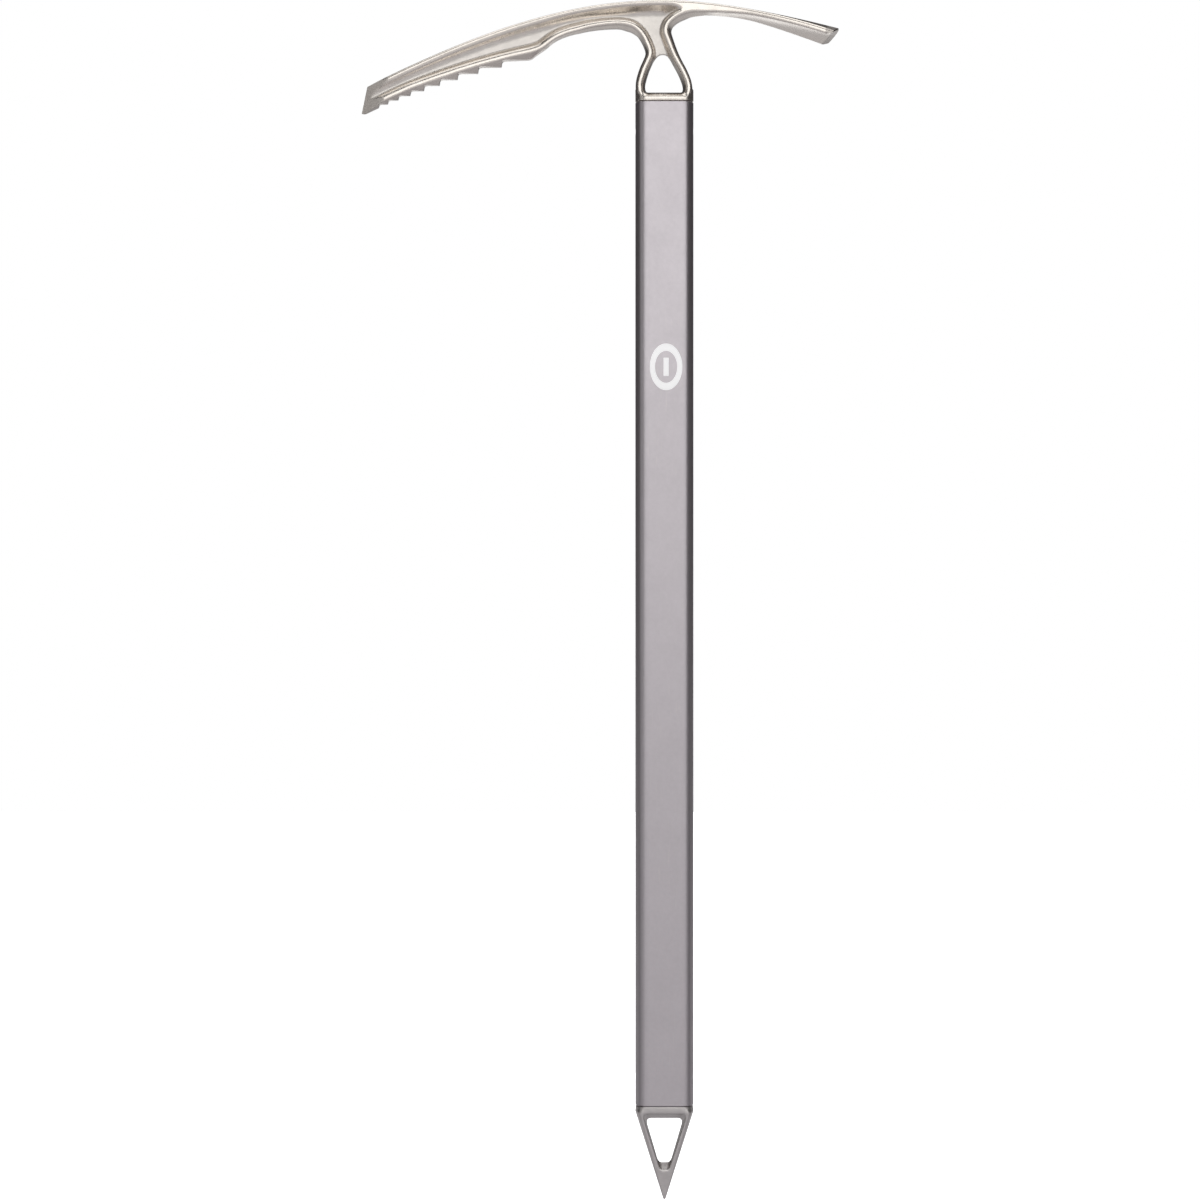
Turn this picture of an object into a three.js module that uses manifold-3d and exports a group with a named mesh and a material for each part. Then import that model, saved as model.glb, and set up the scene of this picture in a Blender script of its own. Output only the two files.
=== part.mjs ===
// A walking and glacier ice axe: a one-piece cast head (pick, adze and skeleton neck with its
// karabiner eye), an oval aluminium tube and a cast spike. Millimetres, +Z up the shaft, +X towards
// the adze, Y across the blade. The origin is the middle of the karabiner eye, on the shaft's axis.
import * as THREE from "three";
import { mergeVertices } from "three/addons/utils/BufferGeometryUtils.js";
import Module from "manifold-3d";

const wasm = await Module();
wasm.setup();

// ---------------------------------------------------------------- driving dimensions
const SHAFT = { length: 501, width: 29, depth: 19, wall: 1.4, sideRadius: 16.5, cornerRadius: 2 };
const EYE = { height: 18, lift: 1, rim: 4.4 }; // clear height, lift of its base, metal under it
const HEAD = { rise: 38.2, peakX: -2 }; // top of the crown above the eye's middle
const CROWN_PICK = { fall: 0.718, bend: 150 }; // the crown is a branch of a hyperbola on each side
const CROWN_ADZE = { fall: 0.295, bend: 60 };
const PICK = { reach: 151.7, web: 2.8, tipDepth: 12.6, heelDepth: 19.2, heelX: -81.4, beak: 1.2 };
const TEETH = { count: 9, growth: 1.145, firstFromTip: 8.9, hook: 0.3, root: 0.9, rootGrowth: 0.08 };
const LOBE = { rise: 3.3, flatEnd: 13, corner: 16, end: 19, lift: 3.4 }; // behind the last tooth
const TIP_GRIND = { edge: 0.9, length: 9, depth: 7.6, lean: 2.7 };
const RAIL = { height: 3.4, tipDepth: 6.8, neckDepth: 13, edge: 0.9, bow: 0.3 };
const RIB = {
  crest: 1.9,
  crestTeeth: 2.4,
  foot: 5.2,
  tipDepth: 6.4,
  neckDepth: 13,
  overTipTeeth: 4, // height of its middle over the tooth line at the point and at the heel
  overHeelTeeth: 5.7,
  startInset: 5,
  belowCrown: 12,
  legX: -20,
};
// Middle of the pick's rib: over the lobe as (run, rise) from the heel, under the crown as
// (x, drop from the crown), and down the neck as (x, drop from the crown's peak).
const BELLY = {
  overLobe: [[14.4, 4.4], [22.8, 8.4]],
  underCrown: [[-52.4, 12], [-43.3, 10.3], [-30, 9.6]],
};
const NECK_LEFT = [[-20, 10.3], [-14.6, 12], [-11.2, 16.2], [-8.6, 20.2]];
const NECK_RIGHT = [[13, 4], [8.9, 5.6], [4.2, 8.4], [1.2, 12], [0.4, 16], [1.7, 19.8]];
const WAIST = { left: -7.1, right: 4, overEye: 3.6 };
const LEG = { shoulder: 0.16, knee: 0.55, kneeDrop: 5.4, shin: 0.92, shinZ: -2.4, footZ: -5 };
// Where a leg turns in along the eye's base.
const TOE = { turn: 0.9, turnRise: 1.7, end: 3, endRise: 0.3, rise: 2 };
const WEB_END = { overEye: 2.1, bow: 1, droop: 1.2 };
const ADZE = {
  rootX: -4,
  reach: 87,
  width: 44.6,
  arch: 4.6,
  archPower: 1.3,
  plate: 2.9,
  beam: 4.8,
  beamEnd: 0.22, // where the root is thickest and the flare starts, as a share of the length
  flareEnd: 1.02,
  bow: 4,
  grind: 4,
  edge: 0.5,
};
const COLLAR_HEIGHT = 2.2;
const TANG = { length: 38, wall: 1.7, cap: 3 };
const SPIKE = { length: 47, shoulder: 2, proud: 0.1, overrun: 0.9, bevel: 1.8, point: 0.5, tangLength: 30 };
const SPIKE_HOLE = { below: 6.6, height: 22, topWidth: 17.8, lowWidth: 5.8, corner: 3 };
const HOLE_DRAFT = { top: 0.32, side: 0.11, low: 1.4 }; // how fast the hole opens towards each face
const SPIKE_RINGS = [0, 0.06, 0.1, 0.16, 0.3, 0.5, 0.7, 0.9, 1]; // shares of the spike's length
const SPIKE_EDGE = { inward: 0.35, depth: 0.6 }; // the corner between a side and the edge bevel
const HOLE_CORNER = { high: 0.3, low: 0.2, rise: 0.7, floor: 0.6 }; // shares of the corner radius
const PIN = { diameter: 3.5, fromEnd: 14.5, sides: 24 };
const BOND = { thickness: 0.5, shortBy: 2, start: 0.5 };
const GAP = 0.2; // clearance left between pieces that touch
const SEAM = 0.3; // gap between a casting's shoulder and the end of the tube
const OVERLAP = 0.2; // how far members of one casting run into each other
const FINEST_CORNER = 0.4;
const WELD = 1e-4;
const ARC_STEPS = 6;
const CURVE_STEPS = 4;
const PATH_STEPS = { overTeeth: 8, pickRib: 90, adzeRib: 46, crown: 26, adze: 16, adzeAcross: 10 };

const shaftTop = -(EYE.height / 2 - EYE.lift + EYE.rim);
const shaftBottom = shaftTop - SHAFT.length;
const neckHalf = SHAFT.width / 2;
const boreInset = SHAFT.wall + GAP;
const tangInset = boreInset + BOND.thickness + GAP;

const STEEL = { color: 0xd3cbc1, roughness: 0.38, metalness: 0.95 };
const ANODISED = { color: 0x9b949c, roughness: 0.42, metalness: 0.9 };
const PIN_STEEL = { color: 0x8c8a88, roughness: 0.4, metalness: 0.95 };
const EPOXY = { color: 0x4a4640, roughness: 0.6, metalness: 0 };

// ---------------------------------------------------------------- solids
function solidFrom(geometry) {
  const bare = new THREE.BufferGeometry();
  bare.setAttribute("position", geometry.getAttribute("position"));
  if (geometry.index) bare.setIndex(geometry.index);
  const merged = mergeVertices(bare, WELD);
  const triVerts = new Uint32Array(merged.index.array);
  const vertProperties = merged.getAttribute("position").array;
  return new wasm.Manifold(new wasm.Mesh({ numProp: 3, vertProperties, triVerts }));
}

function joined(solids) {
  return solids.reduce((sum, next) => sum.add(next));
}

function withoutRepeats(points) {
  const apart = (a, b) => a.distanceTo(b) > 10 * WELD;
  const kept = points.filter((p, i) => i === 0 || apart(p, points[i - 1]));
  while (!apart(kept[0], kept[kept.length - 1])) kept.pop();
  return kept;
}

// A prism on an outline in the XY plane, from z = low to z = high.
function uprightPrism(outline, low, high) {
  const shape = new THREE.Shape(outline);
  const geometry = new THREE.ExtrudeGeometry(shape, { depth: high - low, bevelEnabled: false });
  return solidFrom(geometry.translate(0, 0, low));
}

// A plate on an outline in the XZ plane, centred on the mid-plane y = 0.
function flatPlate(outline, thickness) {
  const shape = new THREE.Shape(outline);
  const geometry = new THREE.ExtrudeGeometry(shape, { depth: thickness, bevelEnabled: false });
  return solidFrom(geometry.rotateX(Math.PI / 2).translate(0, thickness / 2, 0));
}

// A closed skin through rings of points, each with the same number of corners, with flat ends.
function loft(rings) {
  const around = rings[0].length;
  const positions = rings.flat().flatMap((p) => [p.x, p.y, p.z]);
  const index = [];
  for (let i = 0; i + 1 < rings.length; i += 1) {
    for (let j = 0; j < around; j += 1) {
      const a = i * around + j;
      const b = i * around + ((j + 1) % around);
      index.push(a, b, b + around, a, b + around, a + around);
    }
  }
  for (const [ring, first, flip] of [
    [rings[0], 0, true],
    [rings[rings.length - 1], (rings.length - 1) * around, false],
  ]) {
    const middle = ring.reduce((sum, p) => sum.add(p), new THREE.Vector3()).divideScalar(around);
    const centre = positions.length / 3;
    positions.push(middle.x, middle.y, middle.z);
    for (let j = 0; j < around; j += 1) {
      const a = first + j;
      const b = first + ((j + 1) % around);
      index.push(...(flip ? [centre, b, a] : [centre, a, b]));
    }
  }
  const turned = signedVolume(positions, index) < 0;
  const geometry = new THREE.BufferGeometry();
  geometry.setAttribute("position", new THREE.Float32BufferAttribute(positions, 3));
  geometry.setIndex(turned ? index.reverse() : index);
  return solidFrom(geometry);
}

function signedVolume(positions, index) {
  const corner = (k) => new THREE.Vector3().fromArray(positions, 3 * index[k]);
  let sum = 0;
  for (let k = 0; k < index.length; k += 3) {
    sum += corner(k).dot(corner(k + 1).cross(corner(k + 2)));
  }
  return sum / 6;
}

// A bar carried along a path in the XZ plane. section(t) lists corners as (across the path, y).
function bar(path, section) {
  const rings = path.map((p, i) => {
    const before = path[Math.max(i - 1, 0)];
    const after = path[Math.min(i + 1, path.length - 1)];
    const along = after.clone().sub(before).normalize();
    const corners = section(i / (path.length - 1), p);
    return corners.map(([a, y]) => new THREE.Vector3(p.x - along.y * a, y, p.y + along.x * a));
  });
  return loft(rings);
}

function meshOf(name, solid, finish) {
  const { vertProperties, triVerts } = solid.getMesh();
  const geometry = new THREE.BufferGeometry();
  geometry.setAttribute("position", new THREE.BufferAttribute(vertProperties, 3));
  geometry.setIndex(new THREE.BufferAttribute(triVerts, 1));
  geometry.computeVertexNormals();
  const mesh = new THREE.Mesh(geometry, new THREE.MeshStandardMaterial(finish));
  mesh.name = name;
  return mesh;
}

// ---------------------------------------------------------------- the oval section
// Two broad flats, two bowed narrow sides, and rounded corners between them, set in by inset.
function ovalOutline(inset) {
  const sideRadius = SHAFT.sideRadius - inset;
  const sideX = SHAFT.width / 2 - SHAFT.sideRadius;
  const corner = Math.max(SHAFT.cornerRadius - inset, FINEST_CORNER);
  const cornerY = SHAFT.depth / 2 - inset - corner;
  const cornerX = sideX + Math.sqrt((sideRadius - corner) ** 2 - cornerY ** 2);
  const turn = Math.atan2(cornerY, cornerX - sideX);
  const half = (sign, start) => [
    ...arc(sign * cornerX, -sign * cornerY, corner, start, start + Math.PI / 2 - turn),
    ...arc(sign * sideX, 0, sideRadius, start + Math.PI / 2 - turn, start + Math.PI / 2 + turn),
    ...arc(sign * cornerX, sign * cornerY, corner, start + Math.PI / 2 + turn, start + Math.PI),
  ];
  return withoutRepeats([...half(1, -Math.PI / 2), ...half(-1, Math.PI / 2)]);
}

function arc(x, y, radius, from, to) {
  return new THREE.EllipseCurve(x, y, radius, radius, from, to, false).getPoints(ARC_STEPS);
}

// ---------------------------------------------------------------- curves of the head
function crownZ(x) {
  const side = x < HEAD.peakX ? CROWN_PICK : CROWN_ADZE;
  return HEAD.rise - side.fall * (Math.hypot(x - HEAD.peakX, side.bend) - side.bend);
}

// How far along the pick x lies: 0 at the point, 1 at the last tooth.
function alongPick(x) {
  return (x + PICK.reach) / (PICK.heelX + PICK.reach);
}

function toothZ(x) {
  return crownZ(x) - THREE.MathUtils.lerp(PICK.tipDepth, PICK.heelDepth, alongPick(x));
}

function ribZ(x) {
  const rise = THREE.MathUtils.lerp(RIB.overTipTeeth, RIB.overHeelTeeth, alongPick(x));
  return toothZ(x) + rise;
}

// The tooth points, their pitch growing by the same ratio from the pick's point to its heel.
function toothPoints() {
  const first = -PICK.reach + TEETH.firstFromTip;
  const steps = Array.from({ length: TEETH.count - 1 }, (_, i) => TEETH.growth ** i);
  const unit = (PICK.heelX - first) / steps.reduce((sum, s) => sum + s, 0);
  const xs = steps.reduce((list, s) => [...list, list[list.length - 1] + s * unit], [first]);
  return xs.map((x) => new THREE.Vector2(x, toothZ(x)));
}

const heel = new THREE.Vector2(PICK.heelX, toothZ(PICK.heelX));
const lobeZ = heel.y + LOBE.rise;

// Lower rib of the pick from its point to the heel, then the belly, the left leg and the eye's base.
function pickRibPath() {
  const start = -PICK.reach + RIB.startInset;
  const overTeeth = Array.from({ length: PATH_STEPS.overTeeth + 1 }, (_, i) => {
    const x = THREE.MathUtils.lerp(start, PICK.heelX, i / PATH_STEPS.overTeeth);
    return new THREE.Vector2(x, ribZ(x));
  });
  const overLobe = BELLY.overLobe.map(([run, rise]) => new THREE.Vector2(PICK.heelX + run, lobeZ + rise));
  const belly = BELLY.underCrown.map(([x, drop]) => new THREE.Vector2(x, crownZ(x) - drop));
  const downNeck = [...neckPoints(NECK_LEFT), ...legPoints(-1, WAIST.left)];
  const path = [...overTeeth, ...overLobe, ...belly, ...downNeck];
  return new THREE.SplineCurve(path).getSpacedPoints(PATH_STEPS.pickRib);
}

function neckPoints(list) {
  return list.map(([x, drop]) => new THREE.Vector2(x, HEAD.rise - drop));
}

// From the adze's root round the throat, down the right leg and along the eye's base.
function adzeRibPath() {
  const path = [...neckPoints(NECK_RIGHT), ...legPoints(1, WAIST.right)];
  return new THREE.SplineCurve(path).getSpacedPoints(PATH_STEPS.adzeRib);
}

// One leg of the eye, from the waist down to the shoulder and in along the base to the middle.
function legPoints(side, waistX) {
  const footX = side * (neckHalf - RIB.foot / 2);
  const baseZ = shaftTop + TOE.rise;
  const towardsFoot = (share) => THREE.MathUtils.lerp(waistX, footX, share);
  return [
    new THREE.Vector2(waistX, EYE.height / 2 + WAIST.overEye),
    new THREE.Vector2(towardsFoot(LEG.shoulder), EYE.height / 2),
    new THREE.Vector2(towardsFoot(LEG.knee), EYE.height / 2 - LEG.kneeDrop),
    new THREE.Vector2(towardsFoot(LEG.shin), LEG.shinZ),
    new THREE.Vector2(footX, LEG.footZ),
    new THREE.Vector2(footX - side * TOE.turn, baseZ + TOE.turnRise),
    new THREE.Vector2(footX - side * TOE.end, baseZ + TOE.endRise),
    new THREE.Vector2(0, baseZ),
  ];
}

// ---------------------------------------------------------------- the head's members
// The depth of a member grows evenly from the pick's point to the neck.
function pickDepth(x, tipDepth, neckDepth) {
  const reached = THREE.MathUtils.clamp((x + PICK.reach) / PICK.reach, 0, 1);
  return THREE.MathUtils.lerp(tipDepth, neckDepth, reached);
}

// The legs deepen from the neck down to the shaft's full depth at the shoulder.
function legDepth(z) {
  const neckZ = HEAD.rise - RIB.belowCrown;
  const down = THREE.MathUtils.clamp((neckZ - z) / (neckZ - shaftTop - TOE.rise), 0, 1);
  return THREE.MathUtils.lerp(RIB.neckDepth, SHAFT.depth, down);
}

function railDepth(x) {
  return pickDepth(x, RAIL.tipDepth, RAIL.neckDepth);
}

function ribSection(crest, foot, depth) {
  const half = depth / 2;
  return [
    [-foot / 2, 0],
    [-crest / 2, -half],
    [crest / 2, -half],
    [foot / 2, 0],
    [crest / 2, half],
    [-crest / 2, half],
  ];
}

function pickRib() {
  return bar(pickRibPath(), (_, p) => {
    const overTeeth = p.x < PICK.heelX + LOBE.flatEnd;
    const crest = overTeeth ? RIB.crestTeeth : RIB.crest;
    const onPick = pickDepth(p.x, RIB.tipDepth, RIB.neckDepth);
    return ribSection(crest, RIB.foot, p.x < RIB.legX ? onPick : legDepth(p.y));
  });
}

function adzeRib() {
  return bar(adzeRibPath(), (_, p) => ribSection(RIB.crest, RIB.foot, legDepth(p.y)));
}

// Straight feet that carry the flanks of both legs down to the shoulder, flush with the tube.
function legFeet() {
  const footX = neckHalf - RIB.foot / 2;
  return [-1, 1].map((side) => {
    const heights = [LEG.footZ + 1, shaftTop + 1];
    const path = heights.map((z) => new THREE.Vector2(side * footX, z));
    return bar(path, () => ribSection(RIB.crest, RIB.foot, SHAFT.depth - 2 * GAP));
  });
}

// The broad top rail under the palm, from the pick's point to the adze's root.
function crownRail() {
  const path = Array.from({ length: PATH_STEPS.crown + 1 }, (_, i) => {
    const x = THREE.MathUtils.lerp(-PICK.reach, 0, i / PATH_STEPS.crown);
    return new THREE.Vector2(x, crownZ(x));
  });
  return bar(path, (_, p) => {
    const half = railDepth(p.x) / 2;
    const side = [
      [0, half - RAIL.edge],
      [-RAIL.edge, half],
      [-RAIL.height + RAIL.edge, half - RAIL.bow],
      [-RAIL.height, half - 2 * RAIL.edge],
    ];
    const other = side.map(([a, y]) => [a, -y]).reverse();
    return [...side, ...other];
  });
}

// The web between rail and ribs, with the teeth cut along its lower edge.
function toothedWeb() {
  const teeth = toothPoints();
  const outline = new THREE.Path();
  const point = new THREE.Vector2(-PICK.reach, toothZ(-PICK.reach) - PICK.beak);
  outline.moveTo(point.x, point.y);
  teeth.forEach((tip, i) => {
    const next = i + 1 < teeth.length ? teeth[i + 1].y + TEETH.hook : lobeZ;
    const root = TEETH.root + TEETH.rootGrowth * i;
    outline.lineTo(tip.x, tip.y);
    outline.lineTo(tip.x + TEETH.hook, next - root);
    outline.quadraticCurveTo(tip.x + 1.5 * TEETH.hook, next, tip.x + TEETH.hook + root, next);
  });
  const lobeEnd = PICK.heelX + LOBE.flatEnd;
  outline.lineTo(lobeEnd, lobeZ + GAP);
  outline.quadraticCurveTo(PICK.heelX + LOBE.corner, lobeZ + GAP, PICK.heelX + LOBE.end, lobeZ + LOBE.lift);
  const aboveWaist = (p) => p.y > EYE.height / 2 + WEB_END.overEye + 1;
  const bellyPath = pickRibPath().filter((p) => p.x > PICK.heelX + LOBE.end + LOBE.rise && aboveWaist(p));
  const throatPath = adzeRibPath().filter(aboveWaist).reverse();
  const crown = Array.from({ length: PATH_STEPS.crown + 1 }, (_, i) => {
    const x = THREE.MathUtils.lerp(NECK_RIGHT[0][0], -PICK.reach + TIP_GRIND.lean, i / PATH_STEPS.crown);
    return new THREE.Vector2(x, crownZ(x) - RAIL.edge);
  });
  const webEnd = eyeTopArc(bellyPath[bellyPath.length - 1], throatPath[0]);
  const points = [...outline.getPoints(CURVE_STEPS), ...bellyPath, ...webEnd, ...throatPath, ...crown];
  return flatPlate(withoutRepeats(points), PICK.web);
}

// The web ends over the eye in a shallow concave arc from leg to leg.
function eyeTopArc(left, right) {
  const top = EYE.height / 2 + WEB_END.overEye;
  const curve = new THREE.QuadraticBezierCurve(
    new THREE.Vector2(left.x, top - WEB_END.droop),
    new THREE.Vector2((left.x + right.x) / 2, top + WEB_END.bow),
    new THREE.Vector2(right.x, top - WEB_END.droop),
  );
  return curve.getPoints(ARC_STEPS);
}

// The adze: an arched plate that widens to its ground cutting edge.
function adzeBlade() {
  const { lerp, smoothstep } = THREE.MathUtils;
  const steps = PATH_STEPS.adze;
  const grindStart = 1 - ADZE.grind / (ADZE.reach - ADZE.rootX);
  const stations = Array.from({ length: steps + 1 }, (_, i) => (grindStart * i) / steps);
  const rings = [...stations, 1].map((t) => {
    const x = lerp(ADZE.rootX, ADZE.reach, t);
    const flare = smoothstep(t, ADZE.beamEnd, ADZE.flareEnd);
    const half = lerp(RAIL.neckDepth, ADZE.width, flare) / 2;
    const arch = ADZE.arch * t ** ADZE.archPower;
    const beam = lerp(RAIL.height, ADZE.beam, smoothstep(t, 0, ADZE.beamEnd));
    const plate = lerp(beam, ADZE.plate, smoothstep(t, ADZE.beamEnd, 2 * ADZE.beamEnd));
    const thickness = t === 1 ? ADZE.edge : plate;
    const top = Array.from({ length: PATH_STEPS.adzeAcross + 1 }, (_, j) => {
      const v = (2 * j) / PATH_STEPS.adzeAcross - 1;
      return new THREE.Vector3(x - ADZE.bow * t * v * v, v * half, crownZ(x) - arch * v * v);
    });
    const under = top.map((p) => new THREE.Vector3(p.x, p.y, p.z - thickness)).reverse();
    return [...top, ...under];
  });
  return loft(rings);
}

// What is left of the pick's point after grinding both faces to a narrow leading edge.
function tipEnvelope() {
  const { edge, length, depth, lean } = TIP_GRIND;
  const far = { x: 2 * (PICK.reach + ADZE.reach), y: 10 * ADZE.width };
  const plan = [
    new THREE.Vector2(0, -edge / 2),
    new THREE.Vector2(length, -depth / 2),
    new THREE.Vector2(far.x, -far.y),
    new THREE.Vector2(far.x, far.y),
    new THREE.Vector2(length, depth / 2),
    new THREE.Vector2(0, edge / 2),
  ];
  const reach = 4 * SHAFT.length;
  const settings = { depth: 2 * reach, bevelEnabled: false };
  const wedge = new THREE.ExtrudeGeometry(new THREE.Shape(plan), settings);
  const slant = Math.atan2(lean, PICK.tipDepth + PICK.beak);
  wedge.translate(0, 0, -reach).rotateY(slant);
  return solidFrom(wedge.translate(-PICK.reach, 0, toothZ(-PICK.reach) - PICK.beak));
}

// The shoulder that sits on the tube, and the hollow tang inside it.
function collarAndTang() {
  const collar = uprightPrism(ovalOutline(0), shaftTop + SEAM, shaftTop + COLLAR_HEIGHT);
  return [collar, hollowTang(shaftTop + SEAM, -1, TANG.length)];
}

// A tang on a shoulder at z = from, open at its far end, running up (+1) or down (-1).
function hollowTang(from, direction, length) {
  const root = from - direction * OVERLAP;
  const end = from + direction * length;
  const mouth = end + direction;
  const capped = from + direction * TANG.cap;
  const outer = uprightPrism(ovalOutline(tangInset), Math.min(root, end), Math.max(root, end));
  const hollow = ovalOutline(tangInset + TANG.wall);
  return outer.subtract(uprightPrism(hollow, Math.min(capped, mouth), Math.max(capped, mouth)));
}

// ---------------------------------------------------------------- pins
function crossPin(z, clearance) {
  const reach = clearance > 0 ? SHAFT.width : SHAFT.width / 2 - GAP;
  const radius = PIN.diameter / 2 + clearance;
  const geometry = new THREE.CylinderGeometry(radius, radius, 2 * reach, PIN.sides);
  return solidFrom(geometry.rotateZ(Math.PI / 2).translate(0, 0, z));
}

const pinHeights = { head: shaftTop - PIN.fromEnd, spike: shaftBottom + PIN.fromEnd };

function drilled(solid, heights) {
  return heights.reduce((left, z) => left.subtract(crossPin(z, GAP)), solid);
}

// ---------------------------------------------------------------- pieces
function head() {
  const members = [toothedWeb(), crownRail(), pickRib(), adzeRib(), adzeBlade(), ...legFeet()];
  const blade = joined(members);
  const casting = joined([blade.intersect(tipEnvelope()), ...collarAndTang()]);
  return drilled(casting, [pinHeights.head]);
}

function shaft() {
  const tube = uprightPrism(ovalOutline(0), shaftBottom, shaftTop);
  const bore = uprightPrism(ovalOutline(SHAFT.wall), shaftBottom - 1, shaftTop + 1);
  return drilled(tube.subtract(bore), [pinHeights.head, pinHeights.spike]);
}

// Cured adhesive between a tang and the tube's bore.
function bondSleeve(from, direction, length, pinZ) {
  const start = from + direction * BOND.start;
  const end = from + direction * (length - BOND.shortBy);
  const low = Math.min(start, end);
  const high = Math.max(start, end);
  const outer = uprightPrism(ovalOutline(boreInset), low, high);
  const inner = uprightPrism(ovalOutline(boreInset + BOND.thickness), low - 1, high + 1);
  return drilled(outer.subtract(inner), [pinZ]);
}

// Half the spike's width at the mid-plane, t running from the shoulder (0) to the point (1).
function spikeHalfWidth(t) {
  const shoulder = SHAFT.width / 2 + SPIKE.proud;
  const straight = THREE.MathUtils.lerp(shoulder + SPIKE.overrun, SPIKE.point, t);
  return Math.min(shoulder, straight);
}

function spikeBody() {
  const top = shaftBottom - SEAM;
  const rings = SPIKE_RINGS.map((t) => {
    const z = top - t * SPIKE.length;
    const half = spikeHalfWidth(t);
    const depth = THREE.MathUtils.lerp(SHAFT.depth / 2, SPIKE.point, t);
    const face = half - SPIKE.bevel * (1 - t);
    const corners = [
      [half, 0],
      [half - SPIKE_EDGE.inward * (half - face), SPIKE_EDGE.depth * depth],
      [face, depth],
    ];
    const mirrored = corners.slice(1).map(([x, y]) => [-x, y]).reverse();
    const back = [...corners, ...mirrored];
    const front = back.map(([x, y]) => [-x, -y]);
    return [...back, ...front].map(([x, y]) => new THREE.Vector3(x, y, z));
  });
  return loft(rings);
}

// The hole through the spike: narrowest on the mid-plane and flared towards both faces.
function spikeHole() {
  const top = shaftBottom - SPIKE_HOLE.below;
  const ringAt = (y) => {
    const out = Math.abs(y);
    const halfTop = SPIKE_HOLE.topWidth / 2 + HOLE_DRAFT.side * out;
    const halfLow = SPIKE_HOLE.lowWidth / 2;
    const high = top + HOLE_DRAFT.top * out;
    const low = top - SPIKE_HOLE.height - HOLE_DRAFT.low * out;
    const r = SPIKE_HOLE.corner;
    const { high: pull, low: spread, rise, floor } = HOLE_CORNER;
    const path = new THREE.Path();
    path.moveTo(-halfTop + r, high);
    path.lineTo(halfTop - r, high);
    path.quadraticCurveTo(halfTop, high, halfTop - r * pull, high - r);
    path.lineTo(halfLow + r * spread, low + r * rise);
    path.quadraticCurveTo(halfLow, low, halfLow - r * floor, low);
    path.lineTo(-halfLow + r * floor, low);
    path.quadraticCurveTo(-halfLow, low, -halfLow - r * spread, low + r * rise);
    path.lineTo(-halfTop + r * pull, high - r);
    path.quadraticCurveTo(-halfTop, high, -halfTop + r, high);
    const points = withoutRepeats(path.getPoints(CURVE_STEPS));
    return points.map((p) => new THREE.Vector3(p.x, y, p.y));
  };
  const reach = SHAFT.depth / 2 + 1;
  return loft([ringAt(-reach), ringAt(0), ringAt(reach)]);
}

function spike() {
  const top = shaftBottom - SEAM;
  const shoulder = uprightPrism(ovalOutline(-SPIKE.proud), top - SPIKE.shoulder, top);
  const tang = hollowTang(top, 1, SPIKE.tangLength);
  const casting = joined([spikeBody(), shoulder]).subtract(spikeHole());
  return drilled(joined([casting, tang]), [pinHeights.spike]);
}

// ---------------------------------------------------------------- the assembly
const headShoulder = shaftTop + SEAM;
const spikeShoulder = shaftBottom - SEAM;

const axe = new THREE.Group();
axe.add(
  meshOf("head", head(), STEEL),
  meshOf("shaft", shaft(), ANODISED),
  meshOf("spike", spike(), STEEL),
  meshOf("head_cross_pin", crossPin(pinHeights.head, 0), PIN_STEEL),
  meshOf("spike_cross_pin", crossPin(pinHeights.spike, 0), PIN_STEEL),
  meshOf("head_bond", bondSleeve(headShoulder, -1, TANG.length, pinHeights.head), EPOXY),
  meshOf("spike_bond", bondSleeve(spikeShoulder, 1, SPIKE.tangLength, pinHeights.spike), EPOXY),
);

export default axe;
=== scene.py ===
"""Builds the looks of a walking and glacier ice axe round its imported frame: a cast steel head with
pick, adze and karabiner eye, an anodised oval tube, a cast spike, two cross pins and two glue lines.
Sizes inside the shape functions are millimetres in the frame's axes; meshes are written in metres."""
import math
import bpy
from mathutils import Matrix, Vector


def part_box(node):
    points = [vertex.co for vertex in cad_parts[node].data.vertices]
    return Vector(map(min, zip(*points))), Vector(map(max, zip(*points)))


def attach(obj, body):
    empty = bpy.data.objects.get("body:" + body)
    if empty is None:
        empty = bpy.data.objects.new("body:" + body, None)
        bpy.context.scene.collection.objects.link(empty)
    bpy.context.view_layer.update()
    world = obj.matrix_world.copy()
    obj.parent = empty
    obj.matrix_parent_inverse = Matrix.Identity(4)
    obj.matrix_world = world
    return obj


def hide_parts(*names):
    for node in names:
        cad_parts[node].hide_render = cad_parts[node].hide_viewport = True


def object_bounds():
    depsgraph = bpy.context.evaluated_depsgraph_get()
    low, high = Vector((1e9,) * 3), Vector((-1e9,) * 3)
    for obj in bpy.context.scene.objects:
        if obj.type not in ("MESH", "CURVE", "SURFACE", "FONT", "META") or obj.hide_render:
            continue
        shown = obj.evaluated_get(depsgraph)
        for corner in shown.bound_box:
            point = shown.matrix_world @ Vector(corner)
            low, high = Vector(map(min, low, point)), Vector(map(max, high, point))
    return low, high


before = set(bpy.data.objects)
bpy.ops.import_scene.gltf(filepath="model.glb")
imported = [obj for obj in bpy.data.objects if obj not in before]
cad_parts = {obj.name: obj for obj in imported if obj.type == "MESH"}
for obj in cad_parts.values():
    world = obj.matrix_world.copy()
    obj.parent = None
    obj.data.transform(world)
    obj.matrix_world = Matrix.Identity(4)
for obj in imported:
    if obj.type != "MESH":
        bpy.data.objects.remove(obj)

from types import SimpleNamespace

import bpy
import numpy as np
from bpy.props import FloatProperty, FloatVectorProperty, IntProperty, PointerProperty
from mathutils import Vector

bl_info = {
    "name": "Ice axe",
    "version": (1, 0, 0),
    "blender": (4, 5, 0),
    "location": "3D View > Sidebar > Ice Axe",
    "description": "Builds a cast-head ice axe and its studio",
    "category": "Object",
}

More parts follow.
